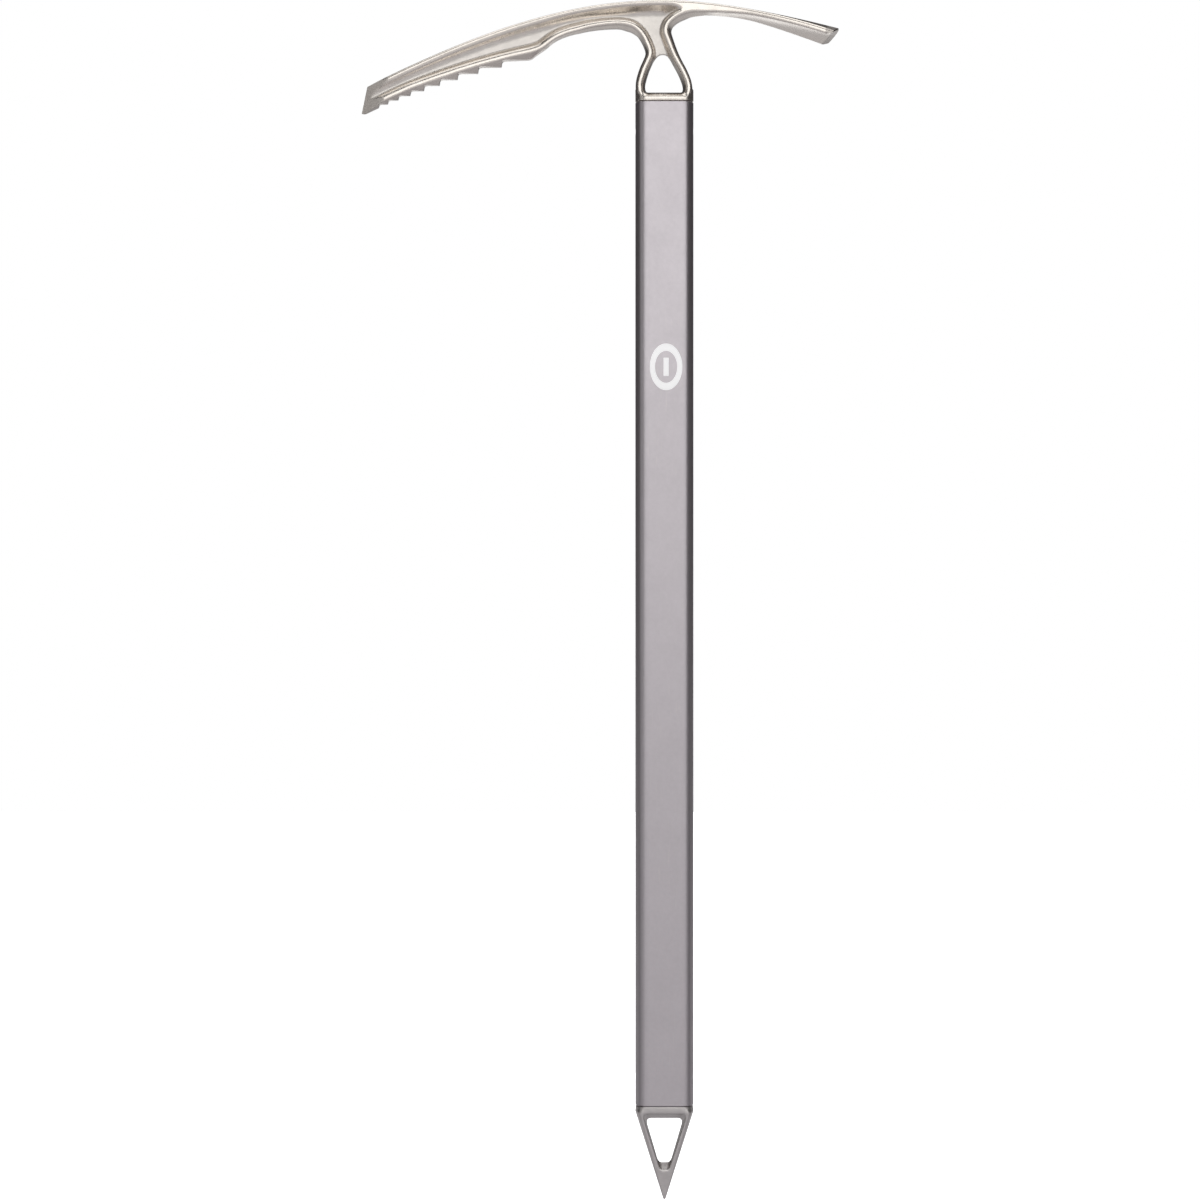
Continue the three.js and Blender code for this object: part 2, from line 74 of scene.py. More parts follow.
BODY = "root"
MM = 0.001
CAD_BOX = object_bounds()
BOX = {name: np.array([list(corner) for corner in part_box(name)]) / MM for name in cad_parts}
SHAFT_LOW, SHAFT_HIGH = BOX["shaft"]
PIN_HEIGHT = {name: BOX[name][:, 2].mean() for name in ("head_cross_pin", "spike_cross_pin")}
PIN_RADIUS = np.ptp(BOX["head_cross_pin"][:, 1]) / 2
DRILL_RADIUS = PIN_RADIUS + 0.2  # the pins' holes


# ---------------------------------------------------------------- properties
def length(name, description, default, low=0.0):
    """A length property in metres whose default is given in millimetres."""
    return FloatProperty(
        name=name, description=description, default=default * MM, min=low * MM, unit="LENGTH", precision=5
    )


def ratio(name, description, default, low=0.0, high=10.0):
    return FloatProperty(name=name, description=description, default=default, min=low, max=high)


def colour(name, description, default):
    return FloatVectorProperty(
        name=name, description=description, default=default, size=3, min=0.0, max=1.0, subtype="COLOR"
    )


class AxeCrownSizes(bpy.types.PropertyGroup):
    """The curve along the top of the head and the broad rail under the palm."""

    rise: length("Rise", "Height of the crown above the middle of the eye", BOX["head"][1, 2])
    peak: length("Peak offset", "Distance of the highest point behind the shaft's axis", 2.0)
    pick_fall: ratio("Pick fall", "Slope that the crown reaches towards the pick's point", 0.718)
    pick_bend: length("Pick bend", "Length over which the pick's droop sets in", 150.0)
    adze_fall: ratio("Adze fall", "Slope that the crown reaches towards the adze's edge", 0.295)
    adze_bend: length("Adze bend", "Length over which the adze's droop sets in", 60.0)
    rail_tip: length("Rail half depth at point", "Half depth of the rail at the pick's point", 3.4)
    rail_neck: length("Rail half depth at neck", "Half depth of the rail over the neck", 6.5)
    rail_face: length("Rail face", "Height of the rail's front face along the pick", 2.5)
    rail_face_neck: length("Rail face at neck", "Height of the rail's front face over the neck", 1.9)
    wall_slope: ratio("Recess wall slope", "Depth lost per height in the wall under the rail", 1.2)


class AxePickSizes(bpy.types.PropertyGroup):
    """The pick: its web, toothed lower flange and ground point."""

    reach: length("Reach", "Distance of the pick's point from the shaft's axis", -BOX["head"][0, 0])
    web: length("Web thickness", "Thickness of the recessed web", 2.9)
    tooth_count: IntProperty(name="Teeth", description="Number of teeth", default=9, min=2, max=20)
    tooth_growth: ratio("Tooth growth", "Ratio of each tooth's pitch to the one before", 1.145)
    first_tooth: length("First tooth", "Distance of the first tooth from the point", 8.9)
    tip_depth: length("Depth at point", "Height from the tooth line to the crown at the point", 12.6)
    heel_depth: length("Depth at heel", "Height from the tooth line to the crown at the last tooth", 18.9)
    heel: length("Heel", "Distance of the last tooth from the shaft's axis", 81.4)
    face: length("Flange face", "Height of the lower flange's front face", 2.3)
    tooth_thickness: length("Tooth thickness", "Thickness of the teeth at their points", 2.6)
    grind_edge: length("Point thickness", "Thickness left at the ground leading edge", 1.0)
    grind_slope: ratio("Point bevel", "Half thickness gained per length behind the edge", 0.33)


class AxeAdzeSizes(bpy.types.PropertyGroup):
    """The adze blade."""

    reach: length("Reach", "Distance of the cutting edge from the shaft's axis", BOX["head"][1, 0])
    half_width: length("Half width", "Half of the blade's width at its edge", BOX["head"][1, 1])
    arch: length("Arch", "Fall of the blade's sides below its middle at the edge", 4.8)
    root_thickness: length("Root thickness", "Blade thickness at the neck", 5.0)
    plate: length("Plate thickness", "Blade thickness near the edge", 2.9)
    bow: length("Edge bow", "How far the middle of the edge leads its corners", 4.0)
    edge: length("Edge thickness", "Thickness left at the cutting edge", 0.8)
    grind_slope: ratio("Edge bevel", "Thickness gained per length behind the edge", 0.58)


class AxeNeckSizes(bpy.types.PropertyGroup):
    """The ribs round the karabiner eye and the collar on the tube."""

    crest: length("Rib crest", "Half width of a rib at its crest", 1.35)
    collar_top: length("Collar top", "Height of the solid collar's top below the eye's middle", -9.9, -50)
    seam: length("Seam", "Gap between a casting's shoulder and the end of the tube", 0.15)
    tang_gap: length("Tang inset", "Distance from the tube's outer face to the tang's", 2.3)
    tang_wall: length("Tang wall", "Wall of the hollow tang", 1.7)
    tang_cap: length("Tang cap", "Solid metal above the tang's hollow", 3.0)


class AxeShaftSizes(bpy.types.PropertyGroup):
    """The oval tube."""

    wall: length("Wall", "Wall of the tube", 1.4)
    side_radius: length("Side radius", "Radius of the bowed narrow sides", 16.5)
    corner: length("Corner blend", "Width over which flats and sides blend", 3.4)
    chamfer: length("Chamfer", "Chamfer on the ends of the tube", 0.4)
    mark_height: length("Mark height", "Distance of the printed mark below the eye's middle", 145.0)


class AxeSpikeSizes(bpy.types.PropertyGroup):
    """The cast spike."""

    point: length("Point", "Half width left at the point", 0.5)
    overrun: length("Overrun", "How far the taper's line overruns the shoulder", 0.9)
    bevel: length("Edge blend", "Width over which faces and sides blend at the shoulder", 1.8)
    hole_below: length("Hole below shoulder", "Metal between the shoulder and the hole", 6.6)
    hole_height: length("Hole height", "Height of the hole on the mid-plane", 22.0)
    hole_top: length("Hole top", "Half width of the hole at its top", 9.4)
    hole_low: length("Hole bottom", "Half width of the hole at its bottom", 2.9)
    floor_draft: ratio("Floor draft", "Fall of the hole's floor per depth", 1.15)
    top_draft: ratio("Top draft", "Rise of the hole's top per depth", 0.34)
    side_draft: ratio("Side draft", "Spread of the hole's sides per depth", 0.11)


class AxeFinish(bpy.types.PropertyGroup):
    """Colours and surface values of the finishes."""

    steel: colour("Steel", "Satin cast stainless steel", (0.82, 0.765, 0.70))
    recess: colour("Recess", "As-cast steel in the recesses", (0.67, 0.635, 0.595))
    ground: colour("Ground faces", "Steel where it was ground to an edge", (0.52, 0.485, 0.45))
    anodised: colour("Anodising", "Gunmetal anodised aluminium", (0.57, 0.535, 0.557))
    # the printed mark's real ink colour, also used as the colour of its painted glow
    print: colour("Printed mark", "Ink of the printed mark", (0.86, 0.86, 0.86))
    spike: colour("Spike", "Bead-blasted cast steel", (0.66, 0.63, 0.615))
    pin: colour("Pins", "Pin steel", (0.38, 0.37, 0.365))
    glue: colour("Glue", "Cured epoxy", (0.08, 0.07, 0.055))


class AxeStudio(bpy.types.PropertyGroup):
    """The camera and the lights."""

    distance: length("Camera distance", "Distance of the camera from the blade's plane", 2200.0)
    view_width: length("View width", "Width that the camera covers on the blade's plane", 600.0)
    centre_x: length("View centre", "Where the camera's axis meets the blade's plane", -32.2, -500)
    floor_drop: length("Floor", "Height of the spike's point above the floor", 240.0)
    front_power: ratio("Front light", "Power of the front softbox in watts", 43.0, 0, 1000)
    top_power: ratio("Top light", "Power of the overhead softbox in watts", 14.0, 0, 1000)
    fill: ratio("Fill", "Brightness of the surroundings in reflections", 0.05)


class AxeSettings(bpy.types.PropertyGroup):
    """All the axe's settings."""

    crown: PointerProperty(type=AxeCrownSizes)
    pick: PointerProperty(type=AxePickSizes)
    adze: PointerProperty(type=AxeAdzeSizes)
    neck: PointerProperty(type=AxeNeckSizes)
    shaft: PointerProperty(type=AxeShaftSizes)
    spike: PointerProperty(type=AxeSpikeSizes)
    finish: PointerProperty(type=AxeFinish)
    studio: PointerProperty(type=AxeStudio)


def in_mm(group):
    """A property group's values, with its lengths turned into millimetres."""
    values = {}
    for key in group.__annotations__:
        value = getattr(group, key)
        values[key] = value / MM if group.bl_rna.properties[key].unit == "LENGTH" else value
    return SimpleNamespace(**values)


# ---------------------------------------------------------------- fields
def soft_max(a, b, width):
    """The larger of two fields; where they differ by less than width, a parabola rounds the crease."""
    near = np.maximum(width - np.abs(a - b), 0.0) / width
    return np.maximum(a, b) + 0.25 * width * near * near


def soft_min(a, b, width):
    """The smaller of two fields, with the crease filleted over width."""
    return -soft_max(-a, -b, width)


def blend(a, b, share):
    """A value share of the way from a to b, where share is held between 0 and 1."""
    return a + (b - a) * np.clip(share, 0.0, 1.0)


def ease(start, end, x):
    """0 below start and 1 above end, with a cubic step that is level at both."""
    t = np.clip((x - start) / (end - start), 0.0, 1.0)
    return t * t * (3.0 - 2.0 * t)


def smooth_path(points, steps=6):
    """A Catmull-Rom curve through rows (x, z, carried values...), steps pieces between two rows:
    half of 2b + (c - a)t + (2a - 5b + 4c - d)t^2 + (3b - a - 3c + d)t^3."""
    p = np.asarray(points, float)
    p = np.vstack([2 * p[0] - p[1], p, 2 * p[-1] - p[-2]])
    t = (np.arange(steps) / steps)[:, None, None]
    a, b, c, d = p[:-3], p[1:-2], p[2:-1], p[3:]
    curve = 2 * b + (c - a) * t + (2 * a - 5 * b + 4 * c - d) * t**2 + (3 * b - a - 3 * c + d) * t**3
    curve = 0.5 * curve
    return np.vstack([curve.transpose(1, 0, 2).reshape(-1, p.shape[1]), p[-2]])


FAR = 40.0  # a path further off than this is not measured
STRIP = 8.0  # points are matched with a path in strips this wide


def beside_path(x, z, path):
    """Distance of each point from a path in the XZ plane, positive on the left of its direction, and
    the path's carried values there: each point takes the nearest foot on any piece of the path."""
    x, z = np.broadcast_arrays(x, z)
    qx, qz = x.ravel(), z.ravel()
    start, run = path[:-1], np.diff(path, axis=0)
    squared = np.maximum((run[:, :2] ** 2).sum(1), 1e-12)
    distance = np.full(qx.size, FAR)
    carried = np.tile(path[0, 2:], (qx.size, 1))
    order = np.argsort(qx, kind="stable")
    cuts = np.searchsorted(qx[order], np.arange(qx.min(), qx.max() + STRIP, STRIP))
    for low, high in zip(cuts, [*cuts[1:], qx.size]):
        if low == high:
            continue
        ids = order[low:high]
        left, right = qx[ids[0]] - FAR / 2, qx[ids[-1]] + FAR / 2
        first, last = start[:, 0], start[:, 0] + run[:, 0]
        use = np.flatnonzero((np.maximum(first, last) > left) & (np.minimum(first, last) < right))
        if not use.size:
            continue
        dx, dz = run[use, 0], run[use, 1]
        ox = qx[ids, None] - start[use, 0]
        oz = qz[ids, None] - start[use, 1]
        t = np.clip((ox * dx + oz * dz) / squared[use], 0.0, 1.0)
        ex, ez = ox - t * dx, oz - t * dz
        best = np.argmin(ex * ex + ez * ez, axis=1)
        row = np.arange(ids.size)
        side = np.sign(dx[best] * ez[row, best] - dz[best] * ex[row, best])
        distance[ids] = np.hypot(ex[row, best], ez[row, best]) * np.where(side == 0, 1, side)
        carried[ids] = start[use[best], 2:] + run[use[best], 2:] * t[row, best, None]
    return distance.reshape(x.shape), [c.reshape(x.shape) for c in carried.T]


def oval(x, y, shaft):
    """The tube's section: broad flats at half the depth, bowed sides about two centres set apart
    across the width, and a rounded crease where they meet."""
    centre = SHAFT_HIGH[0] - shaft.side_radius
    sides = np.hypot(np.abs(x) - centre, y) - shaft.side_radius
    return soft_max(np.abs(y) - SHAFT_HIGH[1], sides, shaft.corner)


def tang(x, y, z, root, end, neck, shaft, pin_height):
    """A hollow oval tube inside the shaft from z = root to z = end, solid for the cap's height and
    drilled for its pin."""
    section = oval(x, y, shaft)
    down = 1.0 if root > end else -1.0
    outside = np.maximum(section + neck.tang_gap, np.maximum(down * (z - root), down * (end - z)))
    cap = down * (z - root) + neck.tang_cap
    hollow = np.maximum(section + neck.tang_gap + neck.tang_wall, cap)
    return np.maximum(np.maximum(outside, -hollow), DRILL_RADIUS - np.hypot(y, z - pin_height))



# ---------------------------------------------------------------- surface from a field
def slope_at(field, points, step=1e-4):
    """How fast the field grows along each axis, from its values a small step to either side."""
    steps = step * np.eye(3)
    return np.stack([field(*(points + u).T) - field(*(points - u).T) for u in steps], 1) / (2 * step)


def crossings(field, values, ticks, axis):
    """The grid edges along one axis that cross the surface: the index of their lower end, the point
    where they cross, found by repeated interpolation, and whether their lower end is inside."""
    low, high = [slice(None)] * 3, [slice(None)] * 3
    low[axis], high[axis] = slice(None, -1), slice(1, None)
    inside = values < 0
    at = np.argwhere(inside[tuple(low)] != inside[tuple(high)])
    far = at + np.eye(3, dtype=int)[axis]
    p, q = (np.stack([ticks[k][ends[:, k]] for k in range(3)], 1) for ends in (at, far))
    fp, fq = values[tuple(at.T)], values[tuple(far.T)]
    for _ in range(3):
        middle = p + (q - p) * np.clip(fp / (fp - fq), 0.05, 0.95)[:, None]
        fm = field(*middle.T)
        same = (fm < 0) == (fp < 0)
        p, q = np.where(same[:, None], middle, p), np.where(same[:, None], q, middle)
        fp, fq = np.where(same, fm, fp), np.where(same, fq, fm)
    return at, p + (q - p) * (fp / (fp - fq))[:, None], inside[tuple(at.T)]


def best_points(cells, points, normals, pull=0.03):
    """The cells in use, and for each the point that lies best on the planes of its crossings: least
    squares about their mean, with a weak pull towards it."""
    used, row = np.unique(cells, return_inverse=True)
    count = np.bincount(row).astype(float)
    mean = np.stack([np.bincount(row, points[:, k]) for k in range(3)], 1) / count[:, None]
    reach = ((points - mean[row]) * normals).sum(1)
    matrix, right = np.empty((used.size, 3, 3)), np.empty((used.size, 3))
    for j in range(3):
        right[:, j] = np.bincount(row, normals[:, j] * reach)
        for k in range(3):
            matrix[:, j, k] = np.bincount(row, normals[:, j] * normals[:, k])
    matrix += pull * count[:, None, None] * np.eye(3)
    return used, mean + np.linalg.solve(matrix, right[:, :, None])[:, :, 0]


def surface_of(field, *ticks):
    """The closed surface where a field is zero, negative inside, on the grid of three rows of ticks.
    Each cell that the surface passes through gets one vertex, kept inside the cell, so that creases
    stay sharp; the four cells round each crossed grid edge make one face."""
    values = filled(np.array(field(*np.ix_(*ticks))))
    shape = np.array(values.shape) - 1
    cells, points, normals, faces = [], [], [], []
    for axis in range(3):
        at, hit, turned = crossings(field, values, ticks, axis)
        slope = slope_at(field, hit)
        slope /= np.maximum(np.linalg.norm(slope, axis=1, keepdims=True), 1e-12)
        corners = []
        for back in ((0, 0), (1, 0), (1, 1), (0, 1)):
            cell = at.copy()
            cell[:, [(axis + 1) % 3, (axis + 2) % 3]] -= back
            corners.append(np.ravel_multi_index(cell.T, shape))
        ring = np.stack(corners, 1)
        faces.append(np.where(turned[:, None], ring, ring[:, ::-1]))
        cells.append(np.concatenate(corners))
        points.append(np.tile(hit, (4, 1)))
        normals.append(np.tile(slope, (4, 1)))
    used, vertices = best_points(np.concatenate(cells), np.vstack(points), np.vstack(normals))
    index = np.stack(np.unravel_index(used, shape), 1)
    low, high = (np.stack([t[index[:, k] + up] for k, t in enumerate(ticks)], 1) for up in (0, 1))
    return settled(field, np.clip(vertices, low, high)), np.searchsorted(used, np.vstack(faces))


def filled(values, rounds=6, least=0.02):
    """Takes all corners of a grid square into the solid where only two opposite corners are inside,
    so that the surface never touches itself along one edge."""
    here, there = slice(None, -1), slice(1, None)
    for _ in range(rounds):
        for pair in ((0, 1), (0, 2), (1, 2)):
            square = np.moveaxis(values, pair, (0, 1))
            inside = square < 0
            crossed = inside[here, here] == inside[there, there]
            crossed &= inside[there, here] == inside[here, there]
            crossed &= inside[here, here] != inside[there, here]
            for corner in ((here, here), (here, there), (there, here), (there, there)):
                part = square[corner]
                part[crossed] = np.minimum(part[crossed], -least)
    return values


def settled(field, vertices, most=0.12):
    """Moves vertices onto the surface along the field's slope, by no more than a small step."""
    slope = slope_at(field, vertices)
    move = -slope * (field(*vertices.T) / np.maximum((slope**2).sum(1), 0.05))[:, None]
    size = np.linalg.norm(move, axis=1, keepdims=True)
    return vertices + move * np.minimum(1.0, most / np.maximum(size, 1e-9))


def mirrored(half):
    """Grid lines on both sides of zero."""
    return np.concatenate([-half[::-1], half])


def spaced(*spans):
    """Grid lines through several spans (from, to, pitch) that follow each other."""
    lines = [np.linspace(a, b, max(2, round((b - a) / pitch) + 1))[:-1] for a, b, pitch in spans]
    return np.concatenate([*lines, [spans[-1][1]]])


# ---------------------------------------------------------------- the head
class HeadForm:
    """The casting as one field: a palm rail, a thin web, ribs with drafted flanks, the arched adze,
    the collar and the hollow tang, joined with small fillets and then cut by teeth and grinding."""

    # widths over which edges are rounded and joints filleted
    CROWN_EDGE, RAIL_CREASE, RIB_SHOULDER, WEB_EDGE, SEAM_EDGE = 1.5, 0.9, 2.0, 0.4, 0.35
    WEB_FILLET, RIB_FILLET, ROOT_FILLET, NECK_EDGE = 1.6, 1.0, 0.5, 0.6
    # places measured from the shaft's axis or from the middle of the eye
    NECK_REACH = 20.0  # neck, eye and collar lie within this distance of the axis
    RAIL_END = 17.0  # the rail sinks into the adze's root up to here
    BLADE_START, ARCH_START, FLARE_START = 8.5, 6.0, -4.0
    POINT_HEIGHT, POINT_LEAN = -20.0, 2.7 / 13.1  # where the point's slanted edge starts, and its slant
    ARC = SimpleNamespace(x=-0.8, z=7.3, radius=4.1)  # the web's lower edge over the eye
    OPEN_BELOW = -80.0  # the tooth outline drops to here behind the belly
    RIB_RUN = 5.2  # a rib's inner flank gains its full carried width over this half depth

    def __init__(self, crown, pick, adze, neck, shaft):
        self.crown, self.pick, self.adze, self.neck, self.shaft = crown, pick, adze, neck, shaft
        self.teeth = self.tooth_outline()
        self.pick_rib = self.pick_rib_path()
        self.adze_rib = self.adze_rib_path()

    def crown_height(self, x):
        """A branch of a hyperbola on each side of the peak: rise - fall * (hypot(run, bend) - bend)."""
        c = self.crown
        run = x + c.peak
        fall = np.where(run < 0, c.pick_fall, c.adze_fall)
        bend = np.where(run < 0, c.pick_bend, c.adze_bend)
        round_length = np.hypot(run, bend)
        return c.rise - fall * (round_length - bend), -fall * run / round_length

    def tooth_line(self, x):
        """Height of the teeth's points, between the depths at the point and at the heel."""
        p = self.pick
        share = (x + p.reach) / (p.reach - p.heel)
        return self.crown_height(x)[0] - (p.tip_depth + (p.heel_depth - p.tip_depth) * share)

    def crease_line(self, x):
        """The crisp lower edge of the toothed flange's front face: its depth grows along the pick."""
        at_point, at_heel, start, run = 11.1, 16.7, -130.0, 68.0
        return self.crown_height(x)[0] - blend(at_point, at_heel, (x - start) / run)

    def tooth_outline(self):
        """Level treads that end in points, with a steep riser and a small rounded root after each."""
        p = self.pick
        pitch = p.tooth_growth ** np.arange(p.tooth_count - 1)
        first = -p.reach + p.first_tooth
        tips = first + np.concatenate([[0.0], np.cumsum(pitch)]) / pitch.sum() * (-p.heel - first)
        heights = self.tooth_line(tips)
        lobe = heights[-1] + 3.2  # height of the belly's low end behind the last tooth
        levels = np.append(heights[1:], lobe)
        grown = np.linspace(0.6, 1.1, tips.size)
        root = np.stack([tips + 0.25, levels - 0.7 * grown], 1)
        curve = np.stack([tips + 0.45 + 0.3 * grown, levels - 0.12 * grown], 1)
        tread = np.stack([tips + 0.5 + 1.3 * grown, levels + 0.15], 1)
        points = np.stack([np.stack([tips, heights], 1), root, curve, tread], 1).reshape(-1, 2)
        beak = [[-p.reach - 9.0, -25.5], [-p.reach, self.POINT_HEIGHT], [-147.6, -18.3]]
        heel = [[-67.6, lobe + 0.5], [-66.2, lobe + 1.0], [-64.3, lobe + 2.6], [-60.2, lobe + 5.3]]
        belly = [[-57.5, lobe + 7.0], [-55.0, lobe + 7.2]]
        away = [[-54.0, self.OPEN_BELOW], [120.0, self.OPEN_BELOW]]
        return np.vstack([beak, points, heel, belly, away])

    def pick_rib_path(self):
        """Rows (x, z, half depth, outer foot, outer rounding) from the point along the teeth, under
        the belly, down the left leg and in along the eye's base."""
        face = self.pick.face / 2
        x = np.linspace(-150.0, -67.0, 12)
        bevel = blend(3.4, 6.6, (x + 145.0) / 30.0)
        over_teeth = np.stack([x, self.crease_line(x) + face, self.rail_depth(x), bevel, 0 * x + 0.25], 1)
        belly = [
            (-62.0, 15.1, 5.2, 3.2, 0.5), (-58.6, 17.5, 5.3, 2.3, 0.6), (-55.6, 19.6, 5.35, 2.2, 0.6),
            (-52.2, 21.4, 5.4, 2.3, 0.7), (-47.8, 23.0, 5.5, 2.3, 0.8), (-43.0, 24.2, 5.6, 2.4, 1.0),
            (-37.5, 25.6, 5.75, 2.7, 1.2), (-32.2, 26.5, 5.9, 3.0, 1.4), (-27.0, 27.05, 6.1, 3.2, 1.4),
            (-22.2, 27.2, 6.3, 3.4, 1.4), (-18.0, 26.6, 6.5, 3.9, 1.4), (-14.6, 25.2, 6.5, 3.7, 1.4),
            (-11.2, 22.0, 6.5, 3.0, 1.4), (-8.9, 18.0, 6.6, 2.7, 1.4), (-7.45, 14.4, 6.8, 2.6, 1.4),
            (-7.0, 12.2, 6.9, 2.6, 1.4), (-7.3, 10.1, 7.0, 2.6, 1.4), (-8.25, 8.0, 7.15, 2.5, 1.4),
            (-10.2, 3.6, 7.5, 2.5, 1.4), (-11.7, -1.0, 7.8, 2.4, 1.4), (-12.35, -4.2, 7.9, 2.1, 1.4),
            (-12.1, -7.0, 8.0, 2.1, 1.3), (-11.0, -9.2, 8.4, 2.2, 1.2), (-9.0, -10.25, 8.9, 2.2, 1.0),
            (-6.0, -10.4, 9.2, 2.2, 0.8), (2.0, -10.4, 9.3, 2.2, 0.8),
        ]
        return smooth_path(np.vstack([over_teeth, belly]))

    def adze_rib_path(self):
        """Rows as above from under the adze's root round the throat, down the right leg and in."""
        rows = [
            (42.0, 32.2, 3.5, 0.3, 1.4), (34.0, 32.9, 5.2, 0.8, 1.4), (26.0, 33.3, 6.4, 1.6, 1.4),
            (20.0, 33.4, 6.6, 2.4, 1.4), (13.5, 33.4, 6.6, 3.4, 1.4),
            (8.85, 32.4, 6.6, 4.1, 1.4), (6.0, 31.0, 6.6, 4.0, 1.4), (3.4, 29.1, 6.55, 3.8, 1.4),
            (1.5, 27.0, 6.5, 3.65, 1.4), (0.5, 24.6, 6.5, 3.5, 1.4), (0.4, 22.0, 6.5, 3.35, 1.4),
            (1.8, 18.2, 6.6, 3.0, 1.4), (4.0, 12.6, 6.9, 2.8, 1.4), (6.2, 8.1, 7.2, 2.6, 1.4),
            (8.9, 3.2, 7.5, 2.5, 1.4), (10.8, -1.0, 7.8, 2.4, 1.4), (11.8, -4.4, 7.9, 2.2, 1.4),
            (11.8, -7.0, 8.0, 2.2, 1.3), (10.8, -9.2, 8.4, 2.2, 1.2), (8.8, -10.25, 8.9, 2.2, 1.0),
            (6.0, -10.4, 9.2, 2.2, 0.8), (-2.0, -10.4, 9.3, 2.2, 0.8),
        ]
        return smooth_path(rows)

    def rail_depth(self, x):
        """Half depth of the rail, growing evenly from the point to the neck."""
        c = self.crown
        return blend(c.rail_tip, c.rail_neck, (x + self.pick.reach) / self.pick.reach)

    def plan(self, x, z):
        """What depends on x and z alone, so that it is worked out once for a whole column in y."""
        crown, slope = self.crown_height(x)
        steep = np.hypot(1.0, slope)
        below, left = beside_path(x, z, self.pick_rib)
        beyond, right = beside_path(x, z, self.adze_rib)
        off_teeth = np.abs(beside_path(x, z, self.teeth)[0])
        tooth_height = np.interp(x, self.teeth[:, 0], self.teeth[:, 1])
        return SimpleNamespace(
            x=x, z=z, crown=crown, steep=steep, depth=(crown - z) / steep,
            below=-below, left=left, beyond=np.where(x < -self.NECK_REACH, -FAR, beyond), right=right,
            teeth=np.where(z > tooth_height, -off_teeth, off_teeth),
        )

    def rib(self, outward, carried, y, inner_run):
        """A bar on a path: crest half width at its full depth, and feet that widen to the mid-plane."""
        half_depth, foot, rounding = carried
        crest, ridge = self.neck.crest, 0.7
        buried = 1.0 - np.hypot(y, ridge) / half_depth
        outer = outward - crest - (foot - crest) * buried
        inner = -outward - crest - inner_run * buried
        crown = y - half_depth
        return soft_max(soft_max(outer, crown, rounding), inner, self.RIB_SHOULDER)

    def rail(self, plan, y):
        """A flat face under the crown's rounded edge, then a wall that slopes in to the web."""
        c = self.crown
        neck_start, neck_run, root_face, root_sink, bow = -62.0, 14.0, 4.2, 2.5, 0.05
        face = blend(c.rail_face, c.rail_face_neck, (plan.x - neck_start) / neck_run)
        face = face + root_face * ease(3.0, 14.0, plan.x)
        half_depth = self.rail_depth(plan.x) - root_sink * ease(9.0, self.RAIL_END, plan.x)
        bowed = half_depth - bow * (plan.depth - 0.6 * face) ** 2
        edge = soft_max(-plan.depth, y - bowed, self.CROWN_EDGE)
        wall = (y - half_depth + c.wall_slope * (plan.depth - face)) / math.hypot(1.0, c.wall_slope)
        pocket = np.where(plan.x > 0.0, plan.beyond, -FAR)
        front = soft_max(edge, wall, self.RAIL_CREASE)
        return np.maximum(soft_max(front, plan.x - self.RAIL_END, 1.0), pocket)

    def web(self, plan, y):
        """A thin plate between rail and ribs that ends over the eye in a shallow arc."""
        across, up = np.abs(plan.x - self.ARC.x), plan.z - self.ARC.z
        reach = np.where(up > across, np.hypot(across, up), (across + up) * math.sqrt(0.5))
        over_eye = np.where(np.abs(plan.x) < self.NECK_REACH, self.ARC.radius - reach, -FAR)
        outline = np.maximum(np.maximum(-plan.depth, plan.below), np.maximum(plan.beyond, over_eye))
        return soft_max(outline, y - self.pick.web / 2, self.WEB_EDGE)

    def blade(self, plan, y):
        """The adze: its top follows the crown and falls by arch * (along * across)^2 to the sides.
        Also gives the field above that top, which trims what else reaches into the adze."""
        a = self.adze
        root_inset, past_edge = 0.4, 1.2
        along = np.clip((plan.x - self.FLARE_START) / (a.reach - self.FLARE_START), 0.0, past_edge)
        half = blend(self.crown.rail_neck, a.half_width, ease(0.22, 1.02, along))
        half = half - root_inset * (1.0 - ease(8.0, 14.0, plan.x))
        across = y / half
        sunk = np.clip((plan.x - self.ARCH_START) / (a.reach - self.ARCH_START), 0.0, past_edge)
        top = plan.crown - a.arch * (sunk * across) ** 2
        thickness = blend(a.root_thickness, a.plate, ease(0.2, 0.55, along))
        end = a.reach - a.bow * across**2 * along
        above = (plan.z - top) / plan.steep
        under = (top - thickness - plan.z) / plan.steep
        ground = (top - a.edge - a.grind_slope * (end - plan.x) - plan.z) / math.hypot(1, a.grind_slope)
        rounding = blend(1.5, 1.2, (plan.x - 10.0) / 25.0)
        plate = soft_max(soft_max(above, under, 0.5), y - half, rounding)
        ends = np.maximum(plan.x - end, self.BLADE_START - plan.x)
        trim = np.where(plan.x > self.ARCH_START, above, -FAR)
        return np.maximum(np.maximum(plate, ground), ends), trim

    def collar(self, plan, y, section):
        """The tube's oval above the seam: a bar under the eye, and a fill outside the eye's ribs."""
        bar_reach, fill_top, overlap = 10.5, -6.0, 0.6
        bottom = SHAFT_HIGH[2] + self.neck.seam - plan.z
        outside_ring = np.where(plan.x < 0.0, plan.below, plan.beyond)
        bar = np.maximum(plan.z - self.neck.collar_top, np.abs(plan.x) - bar_reach)
        beside = np.maximum(plan.z - fill_top, overlap - outside_ring)
        seated = soft_max(section, bottom, self.SEAM_EDGE)
        return soft_max(seated, np.minimum(bar, beside), self.NECK_EDGE)

    def ground_point(self, plan, y):
        """Both faces of the pick's point ground to planes that meet in front of a slanted edge."""
        p = self.pick
        lean = (plan.z - self.POINT_HEIGHT) * self.POINT_LEAN
        behind = (plan.x + p.reach - lean) / math.hypot(1.0, self.POINT_LEAN)
        planes = (y - p.grind_edge / 2 - p.grind_slope * behind) / math.hypot(1.0, p.grind_slope)
        return np.maximum(planes, -behind)

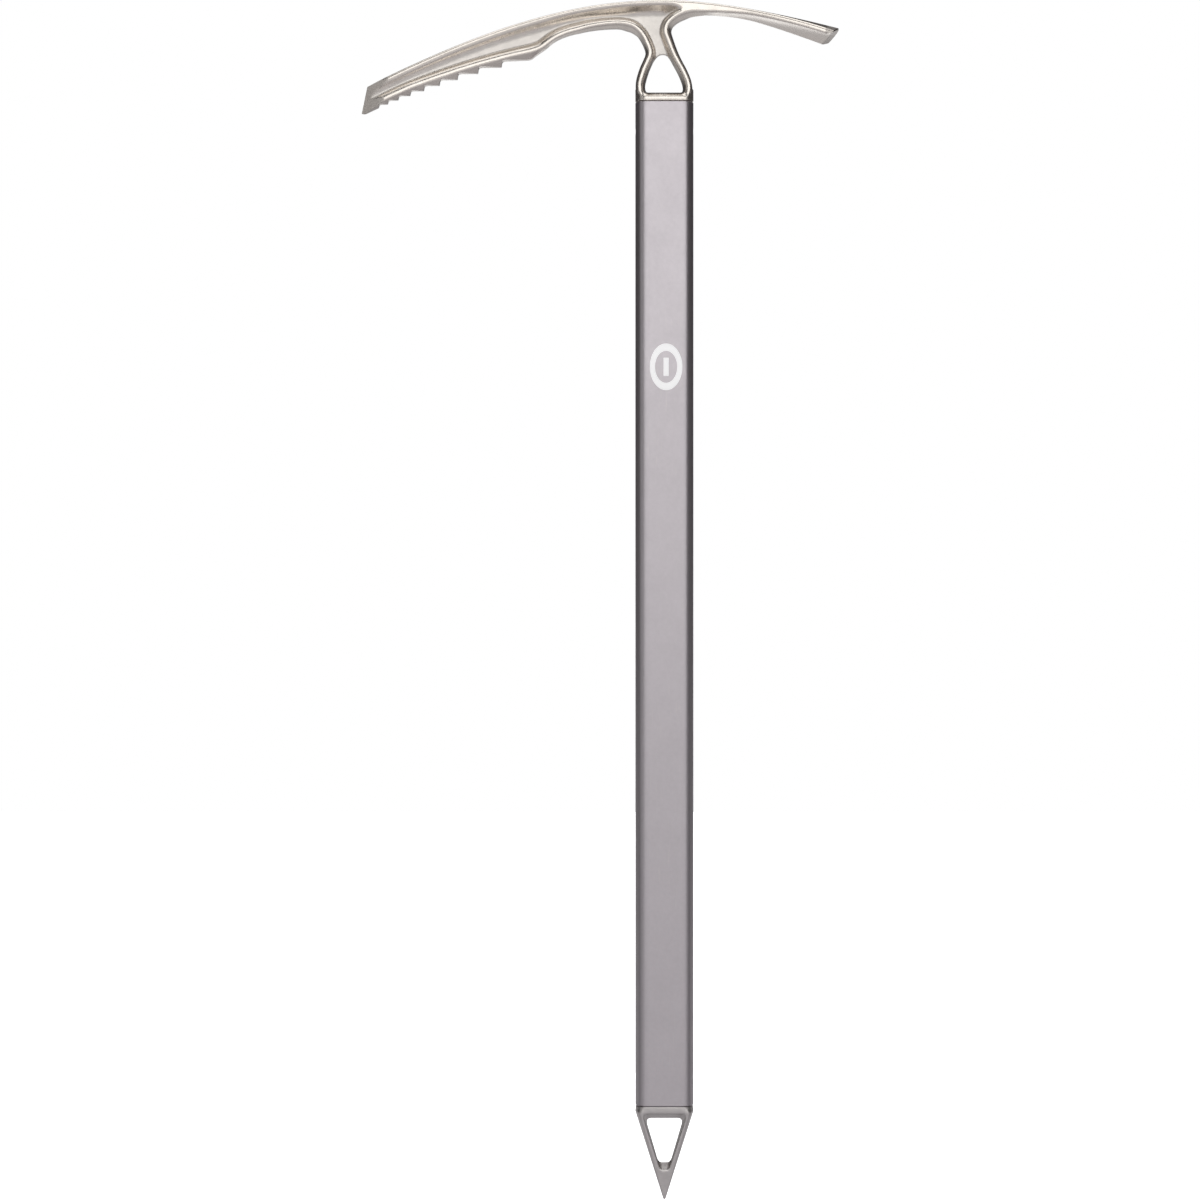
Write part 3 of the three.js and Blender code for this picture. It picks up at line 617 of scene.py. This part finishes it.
    def solid(self, plan, y):
        """The joined and cut casting."""
        y = np.abs(y)
        seam = SHAFT_HIGH[2] + self.neck.seam
        past_neck = np.abs(plan.x) - self.NECK_REACH
        inner_run = plan.left[0] / blend(2.2, self.RIB_RUN, (plan.x + 40.0) / 25.0)
        body = soft_min(self.rail(plan, y), self.web(plan, y), self.WEB_FILLET)
        ribs = np.minimum(
            self.rib(plan.below, plan.left, y, inner_run),
            self.rib(plan.beyond, plan.right, y, plan.right[0] / self.RIB_RUN),
        )
        body = soft_min(body, ribs, self.RIB_FILLET)
        # inside the tube's oval at the seam, which opens upwards as a parabola
        section = oval(plan.x, y, self.shaft)
        flare = 0.22 * np.maximum(plan.z + 9.5, 0.0) ** 2 + 20.0 * np.maximum(past_neck, 0.0)
        body = soft_max(body, section - flare, self.NECK_EDGE)
        body = soft_min(body, self.collar(plan, y, section), self.ROOT_FILLET)
        body = np.maximum(body, np.minimum(seam - plan.z, -past_neck))
        blade, trim = self.blade(plan, y)
        body = np.maximum(soft_min(body, blade, self.ROOT_FILLET), np.maximum(-plan.depth, trim))
        body = np.maximum(body, soft_max(plan.teeth, y - 30.0, 0.1))
        body = np.maximum(body, self.ground_point(plan, y))
        root, end = SHAFT_HIGH[2] + 1.5, BOX["head"][0, 2]
        pin = PIN_HEIGHT["head_cross_pin"]
        return np.minimum(body, tang(plan.x, y, plan.z, root, end, self.neck, self.shaft, pin))

    def field(self, x, y, z):
        return self.solid(self.plan(x, z), y)

    def zones(self, v):
        """How far each vertex belongs to the ground faces and to the recess, from 0 to 1."""
        x, y, z = v.T
        plan = self.plan(x, z)
        y = np.abs(y)
        on_point = 1.0 - ease(0.03, 0.12, -self.ground_point(plan, y))
        a = self.adze
        end = a.reach - a.bow * (y / a.half_width) ** 2
        on_adze = (1.0 - ease(3.6, 4.0, end - x)) * (x > 0.7 * a.reach)
        recess = (1.0 - ease(0.2, 0.7, y - self.pick.web / 2)) * (plan.depth > 2) * (x < 12)
        return {"ground": np.maximum(on_point, on_adze), "recess": recess}


# ---------------------------------------------------------------- the spike
class SpikeForm:
    """The spike as one field: flat faces and sides that taper to the point, an oval shoulder, a
    hole that flares towards both faces, and the hollow tang."""

    def __init__(self, spike, neck, shaft):
        self.spike, self.neck, self.shaft = spike, neck, shaft
        self.top = SHAFT_LOW[2] - neck.seam
        self.span = self.top - BOX["spike"][0, 2]

    def wedge(self, x, y, z):
        """Faces and sides that run straight to the point; the shoulder keeps the tube's oval."""
        s = self.spike
        side_lean, proud, seat, least_blend = 0.16, 0.1, 0.4, 0.4
        t = np.clip((self.top - z) / self.span, -1.0, 1.0)
        shoulder = BOX["spike"][1, 0]
        half = np.minimum(shoulder, blend(shoulder + s.overrun, s.point, t))
        depth = blend(SHAFT_HIGH[1], s.point, t)
        sides = (np.abs(x) - half + side_lean * np.abs(y)) * 0.95
        faces = (y - depth) * 0.98
        corner = np.maximum(s.bevel * (1.0 - t), self.shaft.corner * (1.0 - 5.0 * t))
        body = soft_max(sides, faces, np.maximum(corner, least_blend))
        section = oval(x, y, self.shaft) - proud
        grow = 0.15 * np.maximum(self.top - seat - z, 0.0) ** 2
        body = soft_max(body, section - grow, 1.0)
        return soft_max(soft_max(body, z - self.top, 0.5), self.top - self.span - z, 0.5)

    def hole(self, x, y, z):
        """The hole's planes: a top that rises, a floor that falls and sides that spread with y."""
        s = self.spike
        upper_corner, lower_corner = 3.0, 1.6
        high = self.top - s.hole_below
        low = high - s.hole_height
        t = np.clip((high - z) / s.hole_height, -0.3, 1.3)
        half = s.hole_top + (s.hole_low - s.hole_top) * t + s.side_draft * y
        tops = (z - high - s.top_draft * y) / math.hypot(1.0, s.top_draft)
        floor = (low - s.floor_draft * y - z) / math.hypot(1.0, s.floor_draft)
        return soft_max(soft_max(tops, np.abs(x) - half, upper_corner), floor, lower_corner)

    def field(self, x, y, z):
        y = np.abs(y)
        rim, pin = 0.7, PIN_HEIGHT["spike_cross_pin"]
        body = soft_max(self.wedge(x, y, z), -self.hole(x, y, z), rim)
        root, end = self.top - 1.0, BOX["spike"][1, 2]
        return np.minimum(body, tang(x, y, z, root, end, self.neck, self.shaft, pin))


# ---------------------------------------------------------------- surfaces from profiles
def oval_ring(shaft, insets, count=160):
    """Points of the oval at several insets: along each ray from the middle, halving finds where the
    section's field equals minus the inset. Gives an array (inset, angle, 2)."""
    angle = np.arange(count) / count * 2 * np.pi
    ray = np.stack([np.cos(angle), np.sin(angle)], 1)
    low = np.zeros((len(insets), count))
    high = np.full((len(insets), count), 2 * SHAFT_HIGH[0])
    target = -np.asarray(insets, float)[:, None]
    for _ in range(40):
        middle = (low + high) / 2
        inside = oval(middle * ray[:, 0], middle * ray[:, 1], shaft) < target
        low, high = np.where(inside, middle, low), np.where(inside, high, middle)
    return low[:, :, None] * ray


def ring_faces(rings, around, closed):
    """Quads between rings of points, and back from the last ring to the first if closed."""
    i = np.arange(rings if closed else rings - 1)[:, None]
    j = np.arange(around)[None, :]
    after, beside = (i + 1) % rings, (j + 1) % around
    quads = np.stack([i * around + j, i * around + beside, after * around + beside, after * around + j], 2)
    return quads.reshape(-1, 4)


def new_object(name, vertices, faces):
    """A mesh object whose place is in its mesh, from vertices in millimetres."""
    mesh = bpy.data.meshes.new(name)
    mesh.from_pydata((np.asarray(vertices) * MM).tolist(), [], [list(face) for face in faces])
    made = bpy.data.objects.new(name, mesh)
    bpy.context.scene.collection.objects.link(made)
    return made


def new_piece(name, vertices, faces, crease, node):
    """A piece in place of a CAD node, smooth but for edges sharper than crease degrees."""
    piece = new_object(name, vertices, faces)
    piece.data.polygons.foreach_set("use_smooth", np.ones(len(piece.data.polygons), bool))
    piece.data.set_sharp_from_angle(angle=math.radians(crease))
    piece.data.update()
    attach(piece, BODY)
    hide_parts(node)
    return piece


def store(piece, values):
    """Keeps named values from 0 to 1 on a piece's points for its material."""
    for name, value in values.items():
        attribute = piece.data.attributes.new(name, "FLOAT", "POINT")
        attribute.data.foreach_set("value", np.ascontiguousarray(value, np.float32))


def paint(piece, material):
    piece.data.materials.clear()
    piece.data.materials.append(material)


# ---------------------------------------------------------------- shader groups
def new_group(name, inputs, outputs):
    """A shader node group with named sockets: inputs are (name, kind, default)."""
    group = bpy.data.node_groups.new(name, "ShaderNodeTree")
    for label, kind, default in inputs:
        socket = group.interface.new_socket(name=label, in_out="INPUT", socket_type="NodeSocket" + kind)
        socket.default_value = default
    for label, kind in outputs:
        group.interface.new_socket(name=label, in_out="OUTPUT", socket_type="NodeSocket" + kind)
    return group


class Graph:
    """Short calls for putting nodes into a tree and joining them."""

    def __init__(self, tree):
        self.tree = tree

    def node(self, kind, links=None, **values):
        node = self.tree.nodes.new(kind)
        for key, value in values.items():
            setattr(node, key, value)
        for socket, source in (links or {}).items():
            self.put(node.inputs[socket], source)
        return node

    def put(self, socket, source):
        if isinstance(source, bpy.types.NodeSocket):
            self.tree.links.new(source, socket)
        else:
            socket.default_value = source

    def place(self):
        return self.node("ShaderNodeTexCoord").outputs["Object"]

    def noise(self, place, scale, detail):
        links = {"Vector": place, "Scale": scale, "Detail": detail}
        return self.node("ShaderNodeTexNoise", links).outputs["Fac"]

    def math(self, operation, a, b=0.0, clamp=False):
        return self.node("ShaderNodeMath", {0: a, 1: b}, operation=operation, use_clamp=clamp).outputs[0]

    def plus(self, a, b):
        return self.math("ADD", a, b)

    def times(self, a, b):
        return self.math("MULTIPLY", a, b)

    def mix(self, share, a, b):
        """The colour share of the way from a to b (the colour sockets are 6, 7 and output 2)."""
        return self.node("ShaderNodeMix", {"Factor": share, 6: a, 7: b}, data_type="RGBA").outputs[2]

    def fit(self, value, low, high, to_low=0.0, to_high=1.0):
        links = {"Value": value, "From Min": low, "From Max": high, "To Min": to_low, "To Max": to_high}
        return self.node("ShaderNodeMapRange", links).outputs["Result"]


def cast_grain_group():
    """Fine grain of a blasted casting: cells and noise at two sizes tilt the surface a little, and
    the coarser noise and a wide cloud vary its tone and roughness."""
    group = new_group(
        "cast_grain",
        [("Colour", "Color", (0.8, 0.8, 0.8, 1)), ("Roughness", "Float", 0.3), ("Grain", "Float", 0.1),
         ("Mottle", "Float", 0.1), ("Size", "Float", 1500.0)],
        [("Colour", "Color"), ("Roughness", "Float"), ("Normal", "Vector")],
    )
    g = Graph(group)
    given = g.node("NodeGroupInput").outputs
    place = g.place()
    fine = g.noise(place, given["Size"], 2.0)
    coarse = g.noise(place, g.times(given["Size"], 0.22), 3.0)
    cloud = g.noise(place, 60.0, 2.0)
    cells = g.node("ShaderNodeTexVoronoi", {"Vector": place, "Scale": given["Size"]}).outputs["Distance"]
    relief = g.plus(g.plus(g.times(fine, 0.5), g.times(cells, 0.3)), g.times(coarse, 1.2))
    bump = g.node("ShaderNodeBump", {"Strength": given["Grain"], "Distance": 0.0004, "Height": relief})
    off_middle = [g.times(g.math("SUBTRACT", each, 0.5), given["Mottle"]) for each in (coarse, cloud)]
    uneven = g.plus(*off_middle)
    links = {0: given["Colour"], "Scale": g.plus(1.0, uneven)}
    tinted = g.node("ShaderNodeVectorMath", links, operation="SCALE").outputs[0]
    rough = g.math("SUBTRACT", given["Roughness"], g.times(uneven, 0.6), clamp=True)
    g.node("NodeGroupOutput", {"Colour": tinted, "Roughness": rough, "Normal": bump.outputs[0]})
    return group


def handling_group():
    """Wear from use: sparse fine scratches, stretched along one direction, as a mask."""
    group = new_group(
        "handling_marks",
        [("Stretch", "Vector", (1.0, 1.0, 0.1)), ("Density", "Float", 0.5)],
        [("Mask", "Float")],
    )
    g = Graph(group)
    given = g.node("NodeGroupInput").outputs
    place = g.place()
    scaled = g.node("ShaderNodeVectorMath", {0: place, 1: given["Stretch"]}, operation="MULTIPLY")
    lines = g.noise(scaled.outputs[0], 1400.0, 1.0)
    where = g.noise(place, 45.0, 2.0)
    mask = g.times(g.fit(lines, 0.62, 0.72), g.fit(where, 0.5, 0.7))
    g.node("NodeGroupOutput", {"Mask": g.times(mask, given["Density"])})
    return group


def rgba(value):
    return (*value, 1.0)


def new_material(name, metallic=1.0):
    """A material with the short calls for its nodes and its shader."""
    material = bpy.data.materials.new(name)
    material.use_nodes = True
    g = Graph(material.node_tree)
    shader = next(n for n in material.node_tree.nodes if n.type == "BSDF_PRINCIPLED")
    shader.inputs["Metallic"].default_value = metallic
    return material, g, shader


def grained(g, shader, groups, colour_in, roughness, grain, mottle, size):
    """Places the cast-grain group in a material and feeds the shader from it."""
    links = {"Colour": colour_in, "Roughness": roughness, "Grain": grain, "Mottle": mottle, "Size": size}
    node = g.node("ShaderNodeGroup", links, node_tree=groups["grain"])
    for socket, source in (("Base Color", "Colour"), ("Roughness", "Roughness"), ("Normal", "Normal")):
        g.put(shader.inputs[socket], node.outputs[source])


def marks(g, groups, stretch, density):
    """Places the handling-marks group in a material and gives its mask."""
    links = {"Stretch": stretch, "Density": density}
    return g.node("ShaderNodeGroup", links, node_tree=groups["marks"]).outputs["Mask"]


def steel_material(finish, groups):
    """Satin stainless casting: brighter rubbed ribs, duller grainy recesses, matte ground faces."""
    material, g, shader = new_material("satin_cast_steel")
    recess = g.node("ShaderNodeAttribute", attribute_name="recess").outputs["Fac"]
    ground = g.node("ShaderNodeAttribute", attribute_name="ground").outputs["Fac"]
    tone = g.mix(recess, rgba(finish.steel), rgba(finish.recess))
    tone = g.mix(ground, tone, rgba(finish.ground))
    rough = g.fit(recess, 0.0, 1.0, 0.27, 0.36)
    rough = g.plus(rough, g.times(ground, 0.16))
    grain = g.fit(recess, 0.0, 1.0, 0.04, 0.16)
    grained(g, shader, groups, tone, rough, grain, mottle=0.16, size=1400.0)
    return material


def spike_material(finish, groups):
    """Bead-blasted casting with a few fine scratches down its length."""
    material, g, shader = new_material("blasted_cast_steel")
    worn = marks(g, groups, stretch=(1.0, 1.0, 0.08), density=0.5)
    tone = g.mix(worn, rgba(finish.spike), rgba(finish.ground))
    grained(g, shader, groups, tone, 0.4, grain=0.12, mottle=0.14, size=1600.0)
    return material


def anodised_material(finish, groups, shaft):
    """Blasted and dyed aluminium: very fine sparkle, faint clouding and a printed oval mark that also
    glows faintly in its ink colour, which is painted light.
    """
    material, g, shader = new_material("gunmetal_anodising")
    mask = printed_mark(g, shaft)
    worn = marks(g, groups, stretch=(1.0, 1.0, 0.06), density=0.12)
    tone = g.mix(worn, rgba(finish.anodised), rgba(finish.steel))
    tone = g.mix(mask, tone, rgba(finish.print))
    rough = g.plus(0.36, g.times(mask, 0.2))
    grained(g, shader, groups, tone, rough, grain=0.05, mottle=0.1, size=2600.0)
    g.put(shader.inputs["Metallic"], g.math("SUBTRACT", 1.0, mask))
    # painted light: the printed mark glows faintly in its ink colour, though it is no lamp
    g.put(shader.inputs["Emission Color"], g.mix(mask, (0, 0, 0, 1), rgba(finish.print)))
    shader.inputs["Emission Strength"].default_value = 0.35
    return material


def printed_mark(g, shaft):
    """A plain oval ring round a solid bar, on the front flat only: the ring is where the distance
    from the mark's middle, measured in oval radii, lies between two values."""
    radii, aside, soft = (0.0082, 0.0118), 0.0007, 0.03
    ring_inside, bar = 0.66, (0.14, 0.37)
    moved = g.node("ShaderNodeMapping", {"Vector": g.place()}, vector_type="TEXTURE")
    moved.inputs["Location"].default_value = (aside, 0.0, -shaft.mark_height * MM)
    part = g.node("ShaderNodeSeparateXYZ", {0: moved.outputs[0]}).outputs
    u, v = (g.math("DIVIDE", part[axis], radius) for axis, radius in zip("XZ", radii))
    radius = g.math("SQRT", g.plus(g.times(u, u), g.times(v, v)))
    ring = g.times(g.fit(radius, ring_inside, ring_inside + soft), g.fit(radius, 1.0, 1.0 - soft))
    solid = [g.fit(g.math("ABSOLUTE", each), end + soft, end) for each, end in zip((u, v), bar)]
    front = g.math("LESS_THAN", part["Y"], 0.0)
    return g.times(g.math("MAXIMUM", ring, g.times(*solid)), front)


def pin_material(finish, groups):
    """Dark plain steel with a fine turned grain."""
    material, g, shader = new_material("pin_steel")
    grained(g, shader, groups, rgba(finish.pin), 0.45, grain=0.1, mottle=0.2, size=2500.0)
    return material


def glue_material(finish, groups):
    """Dark cured resin, slightly lumpy."""
    material, g, shader = new_material("cured_epoxy", metallic=0.0)
    grained(g, shader, groups, rgba(finish.glue), 0.45, grain=0.2, mottle=0.3, size=700.0)
    return material


def shader_groups():
    """The shared groups, made the first time they are asked for."""
    makers = {"grain": ("cast_grain", cast_grain_group), "marks": ("handling_marks", handling_group)}
    return {key: bpy.data.node_groups.get(name) or make() for key, (name, make) in makers.items()}


# ---------------------------------------------------------------- operators
class AXE_OT_head(bpy.types.Operator):
    """Builds the cast head with its pick, adze, eye and tang"""

    bl_idname = "axe.head"
    bl_label = "Head"

    def execute(self, context):
        axe = context.scene.ice_axe
        form = HeadForm(*(in_mm(g) for g in (axe.crown, axe.pick, axe.adze, axe.neck, axe.shaft)))
        low, high = BOX["head"]
        pin = PIN_HEIGHT["head_cross_pin"]
        fine, side, coarse = 0.5, 0.62, 2.4  # the grid's pitch: castings, the adze's sides, the tang
        deep = 10.25  # half depth inside which rail, ribs and collar lie
        xs = spaced((low[0] - 0.7, high[0] + 1.0, fine))
        half = spaced((fine / 2, deep, fine), (deep, high[1] + 0.8, side))
        zs = spaced((low[2] - 0.6, pin - 3, coarse), (pin - 3, high[2] + 0.6, fine))
        vertices, faces = surface_of(form.field, xs, mirrored(half), zs)
        piece = new_piece("axe_head", vertices, faces, 42.0, "head")
        store(piece, form.zones(vertices))
        paint(piece, steel_material(axe.finish, shader_groups()))
        return {"FINISHED"}


class AXE_OT_shaft(bpy.types.Operator):
    """Builds the anodised oval tube with its printed mark"""

    bl_idname = "axe.shaft"
    bl_label = "Shaft"

    def execute(self, context):
        axe = context.scene.ice_axe
        shaft = in_mm(axe.shaft)
        low, high, c = SHAFT_LOW[2], SHAFT_HIGH[2], shaft.chamfer
        along = np.linspace(low + c, high - c, 40)
        heights = np.concatenate([[low], along, [high, high, low]])
        insets = [c, *[0.0] * along.size, c, shaft.wall, shaft.wall]
        ring = oval_ring(shaft, insets)
        z = np.broadcast_to(heights[:, None, None], (*ring.shape[:2], 1))
        vertices = np.concatenate([ring, z], 2).reshape(-1, 3)
        faces = ring_faces(len(insets), ring.shape[1], True)
        piece = new_piece("shaft_tube", vertices, faces, 30.0, "shaft")
        drill(piece, PIN_HEIGHT.values())
        paint(piece, anodised_material(axe.finish, shader_groups(), shaft))
        return {"FINISHED"}


def rod(radii, stations, count=48):
    """A turned rod along X: rings of the given radii at the stations, closed by a point at each end."""
    angle = np.arange(count) / count * 2 * np.pi
    x = np.broadcast_to(np.asarray(stations)[:, None], (len(radii), count))
    y = np.outer(radii, np.cos(angle))
    z = np.outer(radii, np.sin(angle))
    rings = np.stack([x, y, z], 2).reshape(-1, 3)
    ends = [[stations[0], 0.0, 0.0], [stations[-1], 0.0, 0.0]]
    j = np.arange(count)
    beside = (j + 1) % count
    last = (len(radii) - 1) * count
    first_cap = np.stack([beside, j, np.full(count, rings.shape[0])], 1)
    last_cap = np.stack([last + j, last + beside, np.full(count, rings.shape[0] + 1)], 1)
    side = ring_faces(len(radii), count, False)
    return np.vstack([rings, ends]), [*side.tolist(), *first_cap.tolist(), *last_cap.tolist()]


def drill(piece, heights):
    """Cuts the pins' holes through a piece and keeps the result as its plain mesh."""
    for height in heights:
        reach = 2 * SHAFT_HIGH[0]
        vertices, faces = rod([DRILL_RADIUS] * 2, [-reach, reach])
        tool = new_object("drill", vertices + [0, 0, height], faces)
        cut = piece.modifiers.new("hole", "BOOLEAN")
        cut.operation, cut.solver, cut.object = "DIFFERENCE", "EXACT", tool
        evaluated = piece.evaluated_get(bpy.context.evaluated_depsgraph_get())
        done = bpy.data.meshes.new_from_object(evaluated)
        piece.modifiers.clear()
        piece.data = done
        bpy.data.objects.remove(tool)


class AXE_OT_spike(bpy.types.Operator):
    """Builds the cast spike with its hole and tang"""

    bl_idname = "axe.spike"
    bl_label = "Spike"

    def execute(self, context):
        axe = context.scene.ice_axe
        form = SpikeForm(in_mm(axe.spike), in_mm(axe.neck), in_mm(axe.shaft))
        low, high = BOX["spike"]
        pin = PIN_HEIGHT["spike_cross_pin"]
        fine, coarse, at_pin = 0.42, 2.2, 0.5
        seat = form.top + 0.45
        xs, ys = (mirrored(spaced((0.2, high[k] + 0.9, fine))) for k in (0, 1))
        zs = spaced((low[2] - 0.8, seat, fine), (seat, pin - 3, coarse), (pin - 3, pin + 3, at_pin),
                    (pin + 3, high[2] + 0.7, coarse))
        vertices, faces = surface_of(form.field, xs, ys, zs)
        piece = new_piece("axe_spike", vertices, faces, 40.0, "spike")
        paint(piece, spike_material(axe.finish, shader_groups()))
        return {"FINISHED"}


class AXE_OT_pins(bpy.types.Operator):
    """Builds the two cross pins that lock the castings in the tube"""

    bl_idname = "axe.pins"
    bl_label = "Cross pins"

    def execute(self, context):
        axe = context.scene.ice_axe
        material = pin_material(axe.finish, shader_groups())
        for node, height in PIN_HEIGHT.items():
            reach = BOX[node][1, 0]
            chamfered, dimple = PIN_RADIUS - 0.25, 0.6
            radii = [dimple, chamfered, PIN_RADIUS, PIN_RADIUS, chamfered, dimple]
            stations = [-reach, -reach + 0.05, -reach + 0.3, reach - 0.3, reach - 0.05, reach]
            vertices, faces = rod(radii, stations)
            piece = new_piece(node + "_turned", vertices + [0, 0, height], faces, 35.0, node)
            paint(piece, material)
        return {"FINISHED"}


class AXE_OT_glue(bpy.types.Operator):
    """Gives the two glue lines inside the tube their material"""

    bl_idname = "axe.glue"
    bl_label = "Glue lines"

    def execute(self, context):
        material = glue_material(context.scene.ice_axe.finish, shader_groups())
        for name in ("head_bond", "spike_bond"):
            paint(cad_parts[name], material)
        return {"FINISHED"}


def softbox(name, place, target, width, height, power):
    """A rectangular area light aimed at a point, not seen directly by the camera."""
    light = bpy.data.lights.new(name, "AREA")
    light.shape, light.size, light.size_y, light.energy = "RECTANGLE", width, height, power
    lamp = bpy.data.objects.new(name, light)
    lamp.location = place
    lamp.rotation_euler = (Vector(target) - Vector(place)).to_track_quat("-Z", "Y").to_euler()
    lamp.visible_camera = False
    bpy.context.scene.collection.objects.link(lamp)


class AXE_OT_stage(bpy.types.Operator):
    """Sets up the floor, the camera, the softboxes and the surroundings"""

    bl_idname = "axe.stage"
    bl_label = "Studio"

    def execute(self, context):
        studio = context.scene.ice_axe.studio
        make_floor(CAD_BOX[0].z - studio.floor_drop)
        make_camera(context.scene, studio)
        make_lights(studio)
        make_surroundings(context.scene, studio)
        context.scene.view_settings.view_transform = "Standard"
        return {"FINISHED"}


def make_floor(height):
    """A wide level square that shines white to the camera and throws a little light back up."""
    reach = 9.0 / MM
    corners = [(-reach, -reach), (reach, -reach), (reach, reach), (-reach, reach)]
    floor = new_object("studio_floor", [(*corner, height / MM) for corner in corners], [range(4)])
    material, g, shader = new_material("pale_floor", metallic=0.0)
    shader.inputs["Base Color"].default_value = (0.75, 0.73, 0.77, 1)
    shader.inputs["Roughness"].default_value = 0.9
    shader.inputs["Emission Color"].default_value = (1, 1, 1, 1)
    seen = g.node("ShaderNodeLightPath").outputs["Is Camera Ray"]
    off_line = g.math("ABSOLUTE", g.node("ShaderNodeSeparateXYZ", {0: g.place()}).outputs["Y"])
    bounce = g.fit(off_line, 0.25, 0.9, 0.06, 0.26)
    g.put(shader.inputs["Emission Strength"], g.plus(g.times(seen, 1.3), bounce))
    paint(floor, material)


def make_camera(scene, studio):
    """A level camera square to the blade's plane, level with the middle of its view."""
    data = bpy.data.cameras.new("view")
    data.sensor_width = 36.0
    data.lens = data.sensor_width * studio.distance / studio.view_width
    data.clip_start, data.clip_end = 0.1, 30.0
    camera = bpy.data.objects.new("view", data)
    above_crown = 0.0007
    middle = CAD_BOX[1].z + above_crown - studio.view_width / 2
    camera.location = (studio.centre_x, -studio.distance, middle)
    camera.rotation_euler = (math.radians(90.0), 0.0, 0.0)
    scene.collection.objects.link(camera)
    scene.camera = camera


def make_lights(studio):
    """A wide softbox behind the camera, a bank overhead, and weaker ones low, left and behind."""
    front, top = studio.front_power, studio.top_power
    softbox("front_softbox", (0.6, -2.6, 0.78), (0.6, 0.0, 0.4), 5.5, 1.8, front)
    softbox("low_softbox", (0.6, -2.6, -0.45), (0.6, 0.0, -0.45), 5.5, 0.6, 0.08 * front)
    softbox("left_softbox", (-2.6, -1.0, 0.3), (0.0, 0.0, 0.0), 1.6, 1.6, 0.06 * front)
    softbox("top_softbox", (0.0, 0.05, 1.5), (0.0, 0.05, -0.1), 1.7, 2.0, top)
    softbox("back_softbox", (0.0, 2.8, -0.5), (0.0, 0.0, -0.3), 1.8, 0.56, 0.2 * top)


def make_surroundings(scene, studio):
    """White where the camera looks past the axe, and dim in reflections."""
    world = bpy.data.worlds.new("studio")
    world.use_nodes = True
    g = Graph(world.node_tree)
    shader = next(n for n in world.node_tree.nodes if n.type == "BACKGROUND")
    seen = g.node("ShaderNodeLightPath").outputs["Is Camera Ray"]
    dim = (studio.fill, studio.fill * 0.95, studio.fill * 0.97, 1.0)
    g.put(shader.inputs["Color"], g.mix(seen, dim, (1, 1, 1, 1)))
    scene.world = world


class AXE_PT_panel(bpy.types.Panel):
    """Sizes, finishes and build buttons of the ice axe"""

    bl_label = "Ice Axe"
    bl_idname = "AXE_PT_panel"
    bl_space_type = "VIEW_3D"
    bl_region_type = "UI"
    bl_category = "Ice Axe"

    def draw(self, context):
        axe = context.scene.ice_axe
        for name in AxeSettings.__annotations__:
            box = self.layout.box()
            box.label(text=name.capitalize())
            group = getattr(axe, name)
            for key in group.__annotations__:
                box.prop(group, key)
        for operator in OPERATORS:
            self.layout.operator(operator.bl_idname)


GROUPS = (AxeCrownSizes, AxePickSizes, AxeAdzeSizes, AxeNeckSizes, AxeShaftSizes, AxeSpikeSizes,
          AxeFinish, AxeStudio, AxeSettings)
OPERATORS = (AXE_OT_head, AXE_OT_shaft, AXE_OT_spike, AXE_OT_pins, AXE_OT_glue, AXE_OT_stage)


def register():
    for each in (*GROUPS, *OPERATORS, AXE_PT_panel):
        bpy.utils.register_class(each)
    bpy.types.Scene.ice_axe = PointerProperty(type=AxeSettings)


def unregister():
    del bpy.types.Scene.ice_axe
    for each in reversed((*GROUPS, *OPERATORS, AXE_PT_panel)):
        bpy.utils.unregister_class(each)


def main():
    register()
    bpy.ops.axe.head()
    bpy.ops.axe.shaft()
    bpy.ops.axe.spike()
    bpy.ops.axe.pins()
    bpy.ops.axe.glue()
    bpy.ops.axe.stage()


if __name__ == "__main__":
    main()
